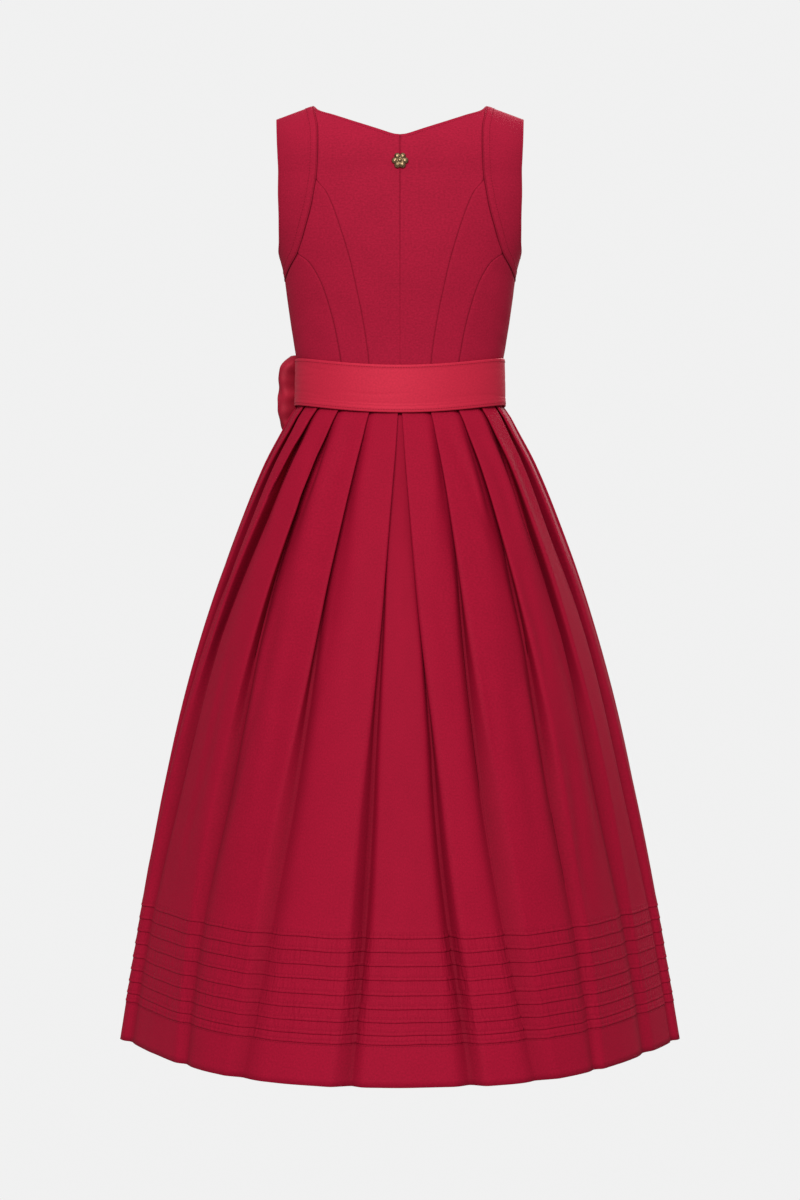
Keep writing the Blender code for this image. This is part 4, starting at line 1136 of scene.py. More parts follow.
# A pleat at the waist and where it is open, as shares of its width or rise: where the cloth between two
# folds swells and how far it lies in there, how far in the fold's foot lies, and how much shade is painted
# there
SWELL_PLACE = (0.78, 0.38)
SWELL_DEPTH = (0.24, 0.08)
FOOT_DEPTH = (1.0, 0.30)
FOOT_SHADE = (0.5, 0.1)
FOOT_ASIDE = 0.18
FOLD_SHADE = 0.25
FOLD_WANDER = 0.006
TUCK_EDGES = (-0.9960, -1.0117, -1.0274, -1.0433, -1.0603, -1.0757, -1.0904, -1.1047, -1.1150)
TUCK_SPACING = 14.8 * MM
TUCK_WANDER = 1.1 * MM
TUCK_FADE = 0.015
TUCK_RIPPLE = 0.4
HEM_FADE = 0.05
HEM_SEAM = -1.1172
PUCKERS = 240.0
PUCKER_REACH = 7 * MM
PUCKER_DEPTH = 2.2 * MM
TUCK_PROFILE = (
    # above the edge, raised, in millimetres, and how much shade is painted there
    (12.6, 0.00, 0.00),
    (8.0, 0.20, 0.00),
    (4.4, 0.40, 0.00),
    (3.4, 0.28, 0.20),
    (2.5, 0.55, 0.00),
    (1.2, 0.70, 0.00),
    (0.3, 0.75, 0.00),
    (-0.2, 0.55, 0.13),
    (-0.3, 0.10, 0.25),
    (-1.0, -0.05, 0.10),
    (-1.9, 0.00, 0.00),
)
PANEL_ROUND = 14.0 * MM
FOOT_ROUND = (1.0 * MM, 12.0 * MM)
TURN_ROUND = (0.4 * MM, 10.0 * MM)
FOLD_ROUND = (0.8 * MM, 10.0 * MM)
SKIRT_RED = (0.335, 0.0042, 0.0262)
LEVELS_ABOVE = 50
LEVELS_BELOW = 6
POINT_SPACING = 0.0045
SKIRT_SWELL = 1.8 * MM
CREASE_WANDER = 0.012
SKIRT_FORM = (
    # level, half_width, back, front, power, flank
    (-0.352, 0.1240, 0.684, 0.790, 0.87, 0.00),
    (-0.373, 0.1288, 0.686, 0.790, 0.87, 0.00),
    (-0.384, 0.1368, 0.695, 0.790, 0.88, 0.00),
    (-0.402, 0.1466, 0.710, 0.780, 0.90, 0.00),
    (-0.446, 0.1700, 0.740, 0.775, 0.95, 0.00),
    (-0.509, 0.1963, 0.770, 0.775, 1.00, 0.06),
    (-0.602, 0.2306, 0.790, 0.780, 1.00, 0.28),
    (-0.727, 0.2675, 0.803, 0.785, 1.00, 0.50),
    (-0.852, 0.2963, 0.810, 0.787, 1.00, 0.66),
    (-0.977, 0.3200, 0.818, 0.790, 1.00, 0.78),
    (-1.163, 0.3505, 0.822, 0.790, 1.00, 0.82),
)
PLEATS_LEFT = (
    # waist_deg, knee_deg, hem_deg, lap at the hem, rise at the hips, rise at the tucks
    (0.8, 6.0, 12.5, -0.26, 0.0110, 0.0150),
    (16.5, 24.0, 35.0, -0.14, 0.0140, 0.0080),
    (35.0, 45.5, 49.5, -0.14, 0.0165, 0.0065),
    (50.5, 69.0, 79.0, -0.16, 0.0180, 0.0055),
    (67.0, 81.0, 94.0, -0.24, 0.0160, 0.0030),
    (84.0, 95.5, 106.0, -0.24, 0.0150, 0.0040),
    (102.0, 108.5, 118.0, -0.32, 0.0150, 0.0050),
    (120.5, 123.0, 131.0, -0.30, 0.0130, 0.0060),
    (139.0, 140.5, 146.0, -0.34, 0.0130, 0.0065),
    (158.0, 158.5, 162.0, -0.30, 0.0120, 0.0055),
)
PLEATS_RIGHT = (
    # waist_deg, knee_deg, hem_deg, lap at the hem, rise at the hips, rise at the tucks
    (0.8, 6.4, 16.0, -0.16, 0.0130, 0.0160),
    (17.0, 20.0, 31.0, -0.28, 0.0150, 0.0085),
    (33.5, 39.0, 43.0, -0.14, 0.0165, 0.0070),
    (51.0, 57.0, 61.5, -0.16, 0.0185, 0.0065),
    (68.5, 74.0, 82.0, -0.22, 0.0170, 0.0040),
    (86.0, 90.5, 98.5, -0.30, 0.0150, 0.0030),
    (104.5, 105.5, 112.0, -0.32, 0.0150, 0.0050),
    (122.5, 123.5, 129.0, -0.34, 0.0130, 0.0060),
    (140.5, 141.0, 146.0, -0.30, 0.0130, 0.0065),
    (158.0, 158.5, 162.0, -0.32, 0.0120, 0.0055),
)
# The pleat, counted from the centre back, whose inner turn hides a seam of the skirt
SEAM_RIGHT_FRONT = 8
SEAM_RIGHT_BACK = 1
SEAM_LEFT = 5
SKIRT_CREASES = (
    # top_deg, bottom_deg, top, bottom, width, depth
    (27.0, 31.0, -0.395, -0.520, 0.0050, 1.9 * MM),
    (44.0, 41.0, -0.400, -0.500, 0.0060, 2.3 * MM),
    (60.0, 57.5, -0.410, -0.560, 0.0070, 2.6 * MM),
    (-26.0, -33.0, -0.400, -0.500, 0.0050, 2.2 * MM),
    (-28.0, -36.0, -0.430, -0.560, 0.0060, 2.3 * MM),
    (-43.0, -47.0, -0.400, -0.540, 0.0060, 2.5 * MM),
    (-44.0, -44.5, -0.560, -0.720, 0.0080, 2.6 * MM),
    (-60.0, -62.0, -0.410, -0.530, 0.0060, 2.2 * MM),
    (10.0, 13.0, -0.540, -0.760, 0.0100, 1.9 * MM),
    (-12.0, -14.0, -0.580, -0.800, 0.0110, 1.9 * MM),
    (31.0, 35.0, -0.640, -0.880, 0.0120, 2.6 * MM),
    (-31.0, -32.0, -0.700, -0.930, 0.0120, 2.6 * MM),
    (50.0, 55.0, -0.700, -0.960, 0.0120, 2.9 * MM),
    (-48.0, -49.0, -0.760, -0.980, 0.0130, 2.9 * MM),
    (3.0, 4.0, -0.820, -1.020, 0.0150, 2.0 * MM),
    (75.0, 80.0, -0.480, -0.760, 0.0100, 2.6 * MM),
    (-76.0, -82.0, -0.500, -0.800, 0.0100, 2.6 * MM),
    (96.0, 103.0, -0.440, -0.700, 0.0090, 2.3 * MM),
    (-95.0, -100.0, -0.430, -0.660, 0.0090, 2.3 * MM),
    (112.0, 120.0, -0.700, -0.980, 0.0120, 2.3 * MM),
    (-118.0, -122.0, -0.640, -0.960, 0.0120, 2.3 * MM),
    (19.0, 23.0, -0.560, -0.760, 0.0060, 1.6 * MM),
    (40.0, 47.0, -0.620, -0.900, 0.0080, 2.4 * MM),
    (58.0, 66.0, -0.660, -0.940, 0.0090, 2.6 * MM),
    (-22.0, -25.0, -0.680, -0.900, 0.0070, 1.8 * MM),
    (-37.0, -41.0, -0.620, -0.860, 0.0080, 2.2 * MM),
    (-55.0, -61.0, -0.640, -0.940, 0.0090, 2.6 * MM),
    (150.0, 152.0, -0.600, -0.900, 0.0120, 2.0 * MM),
    (-148.0, -151.0, -0.560, -0.860, 0.0120, 2.0 * MM),
)


def skirt_share(level):
    return (WAIST - level) / (WAIST - HEM)


def skirt_flank(c, level):
    """How far in the back lies at a point, as a share of its depth, and how steeply it runs there: both
    are 1 where the form is a plain oval. It reads the cosine of the angle."""
    drawn = read_curve(SKIRT_FORM, level, 5) * (np.asarray(c) > 0)
    inward = 1.0 - drawn * np.cos(math.pi * c / 2) ** 2
    return inward, inward + drawn * c * math.pi / 2 * np.sin(math.pi * c)


def skirt_places(angles, level, out):
    """Points of the skirt's smooth outer form at a level, moved out along its horizontal normals."""
    half, back, front, power = (read_curve(SKIRT_FORM, level, column) for column in range(1, 5))
    angles, out = np.asarray(angles, float), np.asarray(out, float)
    c, s = np.cos(angles), np.sin(angles)
    depth = half * np.where(c > 0, back, front)
    inward, slope = skirt_flank(c, level)
    across, deep = s / half * slope, np.sign(c) * np.abs(c) ** (2.0 - power) / depth
    size = np.hypot(across, deep)
    fade = min(1.0, max(0.0, (level - HEM) / (SASH_BOTTOM - HEM)))
    x = half * s + across / size * out
    y = depth * np.sign(c) * np.abs(c) ** power * inward + deep / size * out
    z = level - np.where(c > 0, DIP_BACK, DIP_FRONT) * c * c * fade
    return np.stack([x, y, z + 0.0 * out], axis=-1)


def reach(angle, level):
    """Metres along the skirt for each radian of angle."""
    half = read_curve(SKIRT_FORM, level, 1)
    depth = half * read_curve(SKIRT_FORM, level, 2 if math.cos(angle) > 0 else 3)
    slope = float(skirt_flank(math.cos(angle), level)[1])
    return math.hypot(half * math.cos(angle), depth * math.sin(angle) * slope)


def fold_angle(row, level):
    """Where a pleat's fold lies at a level: a curve through its waist, knee and hem, a little unsteady."""
    v, k = skirt_share(level), skirt_share(KNEE)
    waist, knee, hem = (math.radians(row[i]) for i in range(3))
    curve = waist * (1 - v) * (k - v) / k
    curve += knee * v * (1 - v) / (k * (1 - k)) + hem * v * (v - k) / (1 - k)
    return curve + FOLD_WANDER * v * math.sin(14.0 * v + 3.1 * row[1])


def pleat_course(level, column):
    """One column of the pleats' course at a level: a smooth curve, and a straight line over the tucks."""
    tucked, hem = PLEAT_COURSE[-2:]
    if level < tucked[0]:
        return mix(tucked[column], hem[column], (tucked[0] - level) / (tucked[0] - hem[0]))
    return read_curve(PLEAT_COURSE[:-1], level, column)


def pleat_rise(row, level):
    """How far a fold stands above the cloth beside it: little at the waist, more below."""
    hips, tucks = pleat_course(level, 2), pleat_course(level, 3)
    return RISE_AT_WAIST * (1.0 - hips - tucks) + row[4] * hips + row[5] * tucks


def pleat_section(pleats, level):
    """One side's section through the pleats at a level, from the centre back to the centre front.

    Each pleat laps over its inner neighbour. Its cloth runs from its fold out under the next pleat,
    turns back there, and comes out again as the next fold. Towards the hem the laps open into waves.
    Gives angle, height over the smooth form, roundness and painted shade for each point, and the pleats'
    inner turns."""
    folds = [fold_angle(row, level) for row in pleats]
    widths = [b - a for a, b in zip(folds, folds[1:] + [math.pi])]
    rises = [pleat_rise(row, level) for row in pleats]
    points, turns = [], []
    for k, (row, fold, rise) in enumerate(zip(pleats, folds, rises)):
        before = widths[k - 1] if k else fold
        lap = mix(LAP_AT_WAIST, row[3], pleat_course(level, 1))
        opened = ease((OPEN_FROM - lap) / OPEN_OVER)
        corner = CORNER * opened / reach(fold, level)
        gap = mix(min(rise / 2, FOLD_GAP), OPEN_GAP * rise, opened)
        bottom = -rise * (1.0 + max(lap, 0.0)) - VALLEY * opened
        turn = fold + lap * (widths[k] if lap > 0 else before)
        foot_round = mix(*FOOT_ROUND, opened)
        turn_round = mix(*TURN_ROUND, opened)
        fold_round = mix(*FOLD_ROUND, opened)
        foot_height = -rise * mix(*FOOT_DEPTH, opened)
        # Painted shade in this pleat's valley and under its lap.
        dark = mix(LAP_SHADE, VALLEY_SHADE, opened) * min(1.0, rise / DEEP_RISE)
        if k:
            swell = folds[k - 1] + before * mix(*SWELL_PLACE, opened)
            points.append((swell, -rises[k - 1] * mix(*SWELL_DEPTH, opened), PANEL_ROUND, 0.0))
        else:
            points.append((0.0, foot_height, PANEL_ROUND, 0.0))
        foot = fold + (min(lap, 0.0) - FOOT_ASIDE * opened) * before
        points.append((foot, foot_height, foot_round, mix(*FOOT_SHADE, opened) * dark))
        points.append((turn - corner, bottom, turn_round, dark))
        turns.append(len(points))
        nose = turn + gap / 2 / reach(turn, level) * (1 - opened)
        points.append((nose, bottom + gap / 2, turn_round, dark))
        points.append((turn + corner, bottom + gap, turn_round, dark))
        points.append((fold - corner, -gap, fold_round, mix(dark, FOLD_SHADE * dark, opened)))
        points.append((fold + corner, 0.0, fold_round, 0.0))
    points.append((folds[-1] + 0.5 * widths[-1], 0.0, PANEL_ROUND, 0.0))
    points.append((math.pi, 0.0, PANEL_ROUND, 0.0))
    return points, turns


def skirt_ring(level):
    """The whole section at a level, from the centre front round the right side and the back: points with
    their painted shade, roundness, and the places of the three seams among them."""
    right, right_turns = pleat_section(PLEATS_RIGHT, level)
    left, left_turns = pleat_section(PLEATS_LEFT, level)
    middle = (0.0, (right[0][1] + left[0][1]) / 2, PANEL_ROUND, 0.0)
    section = [(-angle, *rest) for angle, *rest in reversed(right[1:])] + [middle] + left[1:]
    centre = len(right) - 1
    seams = (
        centre - right_turns[SEAM_RIGHT_FRONT],
        centre - right_turns[SEAM_RIGHT_BACK],
        centre + left_turns[SEAM_LEFT],
    )
    angles, heights, rounds, darks = np.array(section).T
    places = skirt_places(angles, level, heights - SKIRT_WALL / 2)
    return np.concatenate([places, darks[:, None]], axis=1), rounds, seams


def softened(points, rounds, counts):
    """A line with its corners made round. Each stretch has its own number of points, closer together
    near its ends, so every level of the skirt has the same columns."""
    steps = np.diff(points, axis=0)
    lengths = np.linalg.norm(steps[:, :3], axis=1)
    steps = steps / lengths[:, None]
    cuts = np.zeros(len(points))
    cuts[1:-1] = np.minimum(rounds[1:-1], np.minimum(lengths[:-1], lengths[1:]) / 2)

    def arc(i, share):
        first, last = points[i] - steps[i - 1] * cuts[i], points[i] + steps[i] * cuts[i]
        return (1 - share) ** 2 * first + 2 * share * (1 - share) * points[i] + share**2 * last

    line = []
    for i, count in enumerate(counts):
        for j in range(count):
            run = (0.5 - 0.5 * math.cos(math.pi * j / count)) * lengths[i]
            left = lengths[i] - run
            if i and run < cuts[i]:
                line.append(arc(i, 0.5 + 0.5 * run / cuts[i]))
            elif i < len(counts) - 1 and left < cuts[i + 1]:
                line.append(arc(i + 1, 0.5 - 0.5 * left / cuts[i + 1]))
            else:
                line.append(points[i] + steps[i] * run)
    line.append(points[-1])
    return np.array(line)


def skirt_levels():
    """Levels from the waist to the hem, how far a tuck raises the cloth there, and how much shade is
    painted there.
    """
    plain = TUCK_EDGES[0] + TUCK_PROFILE[0][0] * MM
    levels = []
    for i in range(LEVELS_ABOVE):
        levels.append((WAIST - SEAM / 2 - (WAIST - plain) * (i / LEVELS_ABOVE) ** 1.35, 0.0, 0.0))
    for edge in TUCK_EDGES:
        for above, raised, dark in TUCK_PROFILE:
            if edge + above * MM < levels[-1][0] - MM / 20:
                levels.append((edge + above * MM, raised * MM, dark))
    last = levels[-1][0]
    for i in range(LEVELS_BELOW):
        levels.append((mix(last, HEM, (i + 1) / LEVELS_BELOW), 0.0, 0.0))
    return levels


def skirt_unevenness(p, v):
    """How far the cloth lies in from its smooth form: a slow swell, and the listed creases."""
    angle = math.atan2(p[0], p[1] / 0.8)
    swell = noise.noise(Vector((5.0 * angle, 3.2 * p[2], 1.7))) * SKIRT_SWELL * ease(v / 0.3)
    for top_deg, bottom_deg, top, bottom, width, depth in SKIRT_CREASES:
        if not bottom < p[2] < top:
            continue
        share = (top - p[2]) / (top - bottom)
        centre = math.radians(mix(top_deg, bottom_deg, share))
        centre += CREASE_WANDER * math.sin(7.0 * share + top_deg)
        aside = (angle - centre) * math.hypot(p[0], p[1])
        if abs(aside) < 3 * width:
            swell += depth * math.exp(-((aside / width) ** 2)) * math.sin(math.pi * share) ** 0.7
    return swell


def skirt_line(level, raised=0.0):
    """The cloth's middle round the whole skirt at a level, raised along its own normals by a tuck. Gives
    points, painted shade and the three seams' places."""
    hem_ring = skirt_ring(HEM)[0][:, :3]
    lengths = np.linalg.norm(np.diff(hem_ring, axis=0), axis=1)
    counts = [int(min(9, max(3, round(length / POINT_SPACING) + 2))) for length in lengths]
    points, rounds, seams = skirt_ring(level)
    line = softened(points, rounds, counts)
    line, shade = line[:, :3], line[:, 3]
    tangent = np.gradient(line, axis=0)
    tangent[0] = tangent[-1] = line[1] - line[-2]
    normal = np.stack([-tangent[:, 1], tangent[:, 0], np.zeros(len(line))], axis=-1)
    normal /= np.maximum(np.linalg.norm(normal, axis=1, keepdims=True), 1e-12)
    inward = np.array([skirt_unevenness(p, skirt_share(level)) for p in line])
    ripple = np.array([noise.noise(Vector((31.0 * p[0], 31.0 * p[1], 9.0 * p[2]))) for p in line])
    line = line + normal * (raised * (1.0 + TUCK_RIPPLE * ripple) - inward)[:, None]
    tucked = ease((TUCK_EDGES[0] + TUCK_FADE - level) / TUCK_FADE) * ease((level - HEM) / HEM_FADE)
    line[:, 2] += TUCK_WANDER * ripple * tucked
    return line, shade, [sum(counts[:seam]) for seam in seams]


def skirt_widths():
    """The three widths are cut from one ring of cloth, so that they meet exactly at their seams."""
    levels = skirt_levels()
    rows, shades = [], []
    for level, raised, dark in levels:
        line, shade, seams = skirt_line(level, raised)
        rows.append(line)
        # The pleats' and the tucks' painted shade, whichever is darker.
        shades.append(np.maximum(shade, dark))
    ring, shades = np.array(rows), np.array(shades)
    run = np.concatenate([[0.0], np.cumsum(np.linalg.norm(np.diff(ring[-1], axis=0), axis=1))])
    first, second, third = seams
    whole = ring.shape[1] - 1
    for name, node, columns, width in (
        ("skirt_right_width", "skirt_right_front", range(first, second + 1), 0.620),
        ("skirt_back_width", "skirt_back", range(second, third + 1), 0.700),
        ("skirt_left_width", "skirt_left_front", [*range(third, whole), *range(first + 1)], 0.680),
    ):
        columns = list(columns)
        middle = ring[:, columns]
        cut = np.zeros(middle.shape[:2] + (2,))
        along = run[columns]
        cut[:, :, 0] = np.where(along < along[0], along + run[-1], along)[None, :]
        cut[:, :, 1] = np.array([level for level, raised, dark in levels])[:, None]
        piece = closed_cloth(name, middle, cut, SKIRT_WALL, shades[:, columns])
        dressed(piece, skirt_cloth, node)


def hem_stitches():
    """One line of stitches holds the deep hem up, just under the last tuck."""
    line, shade, seams = skirt_line(HEM_SEAM, SKIRT_WALL / 2 + THREAD_LIFT)
    sewn_lines("hem_stitches", [line])


def pressed_puckers(material):
    """The small upright puckers that nine rows of sewing leave in the cloth between the tucks."""
    tree = material.node_tree

    def sums(operation, *values):
        return maths(tree, operation, *values)

    place = tree.nodes["UV Map"].outputs["UV"]
    place = added(tree, "ShaderNodeSeparateXYZ", {"Vector": place}).outputs
    row = sums("FLOOR", sums("DIVIDE", sums("SUBTRACT", place["Y"], TUCK_EDGES[0]), TUCK_SPACING))
    joined = added(tree, "ShaderNodeCombineXYZ", {
        "X": sums("MULTIPLY", place["X"], PUCKERS),
        "Y": sums("MULTIPLY", row, 7.3),
        "Z": sums("MULTIPLY", place["Y"], 26.0),
    })
    values = {"Vector": joined.outputs["Vector"], "Scale": 1.0, "Detail": 1.5}
    cloud = added(tree, "ShaderNodeTexNoise", values).outputs["Fac"]
    below = sums("LESS_THAN", place["Y"], TUCK_EDGES[0] + PUCKER_REACH)
    above = sums("GREATER_THAN", place["Y"], HEM_SEAM)
    height = sums("MULTIPLY", cloud, sums("MULTIPLY", below, above))
    values = {"Strength": 0.8, "Distance": PUCKER_DEPTH, "Height": height}
    pucker = added(tree, "ShaderNodeBump", values)
    filled(tree, tree.nodes["threads"], {"Normal": pucker.outputs["Normal"]})


skirt_cloth = cloth_material(
    "skirt_cloth", SKIRT_RED, threads=1500.0, slub=0.30, mottle=0.45, relief=0.30, depth=0.14,
    roughness=0.72, sheen=0.04, specular=0.08,
)
pressed_puckers(skirt_cloth)
skirt_widths()
hem_stitches()


# The sash: a flat band of satin that runs from the bow round the back to the right side, where it is
# sewn to the waistband of the apron. Its top edge is folded over and its lower edge has a deep hem.
SASH_TOP = -0.315
SATIN_WALL = 1.2 * MM
SATIN_RED = (0.545, 0.0195, 0.0505)
SASH_SEAM_RIGHT = -128.0
KNOT_ANGLE = 138.0
BAND_REACH = 0.112
BAND_SEAM_REACH = 0.11
BAND_ROWS = 49
SASH_FORM = (
    # share of height, half_width, back, front
    (0.0, 0.1302, 0.0862, 0.1045),
    (0.5, 0.1306, 0.0880, 0.1052),
    (1.0, 0.1312, 0.0902, 0.1060),
)
SASH_PROFILE = (
    # share of height, raised in millimetres
    (0.00, 0.10),
    (0.05, 0.35),
    (0.085, 0.05),
    (0.12, 0.10),
    (0.50, 0.35),
    (0.80, 0.15),
    (0.825, 0.0),
    (0.85, 0.40),
    (0.875, 0.05),
    (0.90, 0.45),
    (1.00, 0.25),
)
SASH_CREASES = (
    # start_deg, end_deg, start share, end share, width, depth
    (-8, 45, 0.60, 0.66, 1.6 * MM, 0.35 * MM),
    (30, 82, 0.22, 0.14, 1.5 * MM, 0.45 * MM),
    (48, 96, 0.34, 0.40, 1.4 * MM, 0.55 * MM),
    (52, 110, 0.55, 0.62, 1.8 * MM, 0.60 * MM),
    (38, 90, 0.72, 0.70, 1.5 * MM, 0.45 * MM),
    (60, 130, 0.28, 0.36, 1.8 * MM, 0.70 * MM),
    (70, 134, 0.48, 0.50, 2.0 * MM, 0.80 * MM),
    (66, 132, 0.74, 0.64, 1.9 * MM, 0.75 * MM),
    (-62, -18, 0.76, 0.72, 1.7 * MM, 0.35 * MM),
    (-96, -40, 0.84, 0.74, 1.6 * MM, 0.50 * MM),
    (-88, -46, 0.26, 0.20, 1.6 * MM, 0.35 * MM),
    (-120, -70, 0.42, 0.46, 1.8 * MM, 0.50 * MM),
    (150, 226, 0.30, 0.36, 2.0 * MM, 0.50 * MM),
    (142, 200, 0.62, 0.56, 2.0 * MM, 0.60 * MM),
    (178, 230, 0.74, 0.70, 1.8 * MM, 0.45 * MM),
)

satin = cloth_material(
    "sash_satin", SATIN_RED, threads=1900.0, slub=0.22, mottle=0.35, relief=0.22, depth=0.10,
    roughness=0.55, sheen=0.04, specular=0.10, gloss=0.12,
)


def sash_point(angle, share, out=0.0):
    half, back, front = (read_curve(SASH_FORM, share, i) for i in (1, 2, 3))
    depth = back if math.cos(angle) > 0 else front
    x, y = half * math.sin(angle), depth * power_cos(angle, BODY_POWER)
    normal = Vector((math.sin(angle) / half, power_cos(angle, 2.0 - BODY_POWER) / depth, 0.0)).normalized()
    return Vector((x, y, mix(SASH_TOP, SASH_BOTTOM, share) - dip(angle))) + normal * out


def sash_relief(degrees, share):
    """How far the satin stands out: its folded edges, less the creases that cross a point."""
    height = read_curve(SASH_PROFILE, share, 1) * MM
    for start, end, start_share, end_share, width, depth in SASH_CREASES:
        if start < degrees < end:
            along = (degrees - start) / (end - start)
            centre = mix(start_share, end_share, along) + CREASE_WANDER * math.sin(9.0 * along + start)
            aside = (share - centre) * (SASH_TOP - SASH_BOTTOM)
            height -= 0.5 * depth * math.exp(-((aside / width) ** 2)) * math.sin(math.pi * along)
    return height


def waist_band(name, node, start, end, columns):
    inset = math.degrees(SEAM / 2 / BAND_SEAM_REACH)
    middle = np.zeros((BAND_ROWS, columns, 3))
    cut = np.zeros((BAND_ROWS, columns, 2))
    for c in range(columns):
        degrees = mix(start + inset, end - inset, c / (columns - 1))
        for r in range(BAND_ROWS):
            share = r / (BAND_ROWS - 1)
            middle[r, c] = sash_point(math.radians(degrees), share, sash_relief(degrees, share))
            cut[r, c] = (math.radians(degrees) * BAND_REACH, -share * (SASH_TOP - SASH_BOTTOM))
    piece = closed_cloth(name, middle, cut, SATIN_WALL)
    dressed(piece, satin, node)


def band_edge_stitches(name, start, end):
    """The folded edges of the band are stitched close to the fold, all the way along."""
    routes = []
    for share in (0.055, 0.945):
        route = []
        for degrees in np.linspace(start + 1.0, end - 1.0, int((end - start) * 1.2)):
            out = sash_relief(degrees, share) + SATIN_WALL / 2 + THREAD_LIFT
            route.append(sash_point(math.radians(degrees), share, out))
        routes.append(route)
    sewn_lines(name, routes)


waist_band("satin_sash", "sash", SASH_SEAM_RIGHT, KNOT_ANGLE, 280)
waist_band("satin_waistband", "apron_waistband", KNOT_ANGLE, 360.0 + SASH_SEAM_RIGHT, 110)
band_edge_stitches("sash_stitches", SASH_SEAM_RIGHT, KNOT_ANGLE)
band_edge_stitches("waistband_stitches", KNOT_ANGLE, 360.0 + SASH_SEAM_RIGHT)


# The apron: one width of the satin, gathered into the waistband, with narrow side hems and a deep hem
# at the bottom. It hangs over the front of the skirt in soft folds of its own.
APRON_HEM = -1.130
APRON_EDGE_WAIST = 128.0
APRON_EDGE_HEM = 121.0
APRON_CLEAR = 2.6 * MM
APRON_WAVE = 5.0 * MM
APRON_GATHERS = 9
APRON_FINE = 0.8 * MM
APRON_SWELL = 0.9 * MM
TUCK_RISE = 1.1 * MM
APRON_COLUMNS = 200
APRON_STEEP = -0.4700
SIDE_HEM = 0.016
DEEP_HEM = 32 * MM
HEM_RISE = 0.35 * MM


def apron_out(level):
    return APRON_CLEAR + TUCK_RISE + APRON_WAVE * ease((SASH_BOTTOM - level) / 0.3)


def apron_place(u, level, out=0.0):
    """A point of the apron: u runs from its edge on the wearer's left to that on the right."""
    share = (level - SASH_BOTTOM) / (APRON_HEM - SASH_BOTTOM)
    edge = mix(APRON_EDGE_WAIST, APRON_EDGE_HEM, share)
    angle = math.radians(mix(edge, 360.0 - edge, u))
    uneven = u + 0.011 * math.sin(9.0 * u + 1.0) + 0.006 * math.sin(23.0 * u + 5.0 * share)
    wave = 0.5 + 0.5 * math.cos(2 * math.pi * APRON_GATHERS * uneven)
    stands = APRON_CLEAR + TUCK_RISE + (apron_out(level) - APRON_CLEAR - TUCK_RISE) * wave
    fine = math.sin(2 * math.pi * 31 * uneven) + 0.6 * math.sin(2 * math.pi * 47 * uneven + 2.0)
    gathers = APRON_FINE * fine * ease(share / 0.01) * (1.0 - ease(share / 0.16))
    swell = APRON_SWELL * noise.noise(Vector((7.0 * u, 5.0 * share, 4.2))) * ease(share / 0.1)
    hem = HEM_RISE if level < APRON_HEM + DEEP_HEM or min(u, 1 - u) < SIDE_HEM else 0.0
    return skirt_places(angle, level, stands + gathers + swell + hem + out)


def satin_apron():
    levels = [mix(SASH_BOTTOM - SEAM, APRON_STEEP, (i / 20) ** 1.2) for i in range(20)]
    levels += list(np.linspace(APRON_STEEP, APRON_HEM + DEEP_HEM + 2 * MM, 48))
    levels += [APRON_HEM + DEEP_HEM + 0.4 * MM, APRON_HEM + DEEP_HEM - 0.4 * MM]
    levels += list(np.linspace(APRON_HEM + 24 * MM, APRON_HEM, 5))
    middle = np.zeros((len(levels), APRON_COLUMNS, 3))
    cut = np.zeros((len(levels), APRON_COLUMNS, 2))
    for r, level in enumerate(levels):
        for c in range(APRON_COLUMNS):
            u = c / (APRON_COLUMNS - 1)
            if r == 0:
                degrees = mix(APRON_EDGE_WAIST, 360.0 - APRON_EDGE_WAIST, u)
                middle[r, c] = sash_point(math.radians(degrees), 1.0) - Vector((0, 0, SEAM))
            else:
                middle[r, c] = apron_place(u, level)
    run = np.concatenate([[0.0], np.cumsum(np.linalg.norm(np.diff(middle[-1], axis=0), axis=1))])
    cut[:, :, 0] = run[None, :]
    cut[:, :, 1] = np.array(levels)[:, None]
    piece = closed_cloth("satin_apron", middle, cut, SATIN_WALL)
    dressed(piece, satin, "apron")


def apron_stitches():
    """Down both side hems and along the top of the deep hem."""
    lift = SATIN_WALL / 2 + THREAD_LIFT
    heights = np.linspace(-0.385, APRON_HEM + 4 * MM, 150)
    routes = [[apron_place(u, level, lift) for level in heights] for u in (0.0145, 0.9855)]
    across = np.linspace(SIDE_HEM, 1.0 - SIDE_HEM, 220)
    routes.append([apron_place(u, APRON_HEM + DEEP_HEM - 1.5 * MM, lift) for u in across])
    sewn_lines("apron_stitches", routes)


satin_apron()
apron_stitches()


# The bow: a knot that holds two open loops and two tails, all of the sash's satin. It sits at the front
# on the wearer's left, and its back loop shows from behind.
KNOT_HALF = (0.015, 0.012, 0.021)
KNOT_LEVEL = -0.3450
KNOT_BARREL = 0.12
KNOT_FOLDS = 0.035
LOOP_LENGTH = 0.072
LOOP_PLAN = (
    # place along the cloth, share of length, distance out from the loop's own middle
    (0, 0.23, 0.0030),
    (1, 0.38, 0.0062),
    (2, 0.58, 0.0090),
    (3, 0.78, 0.0098),
    (4, 0.92, 0.0080),
    (5, 0.99, 0.0042),
    (6, 1.00, 0.0000),
    (7, 0.99, -0.0042),
    (8, 0.92, -0.0080),
    (9, 0.78, -0.0098),
    (10, 0.58, -0.0090),
    (11, 0.38, -0.0062),
    (12, 0.23, -0.0030),
)
LOOP_CORNERS = (0.26, 0.10)
LOOP_ROOT_HEIGHT = 0.026
LOOP_END_HEIGHT = 0.095
LOOP_CREASE = (1.5, 1.2)
LOOP_SAG = 0.006
LOOP_STEP = 0.0125
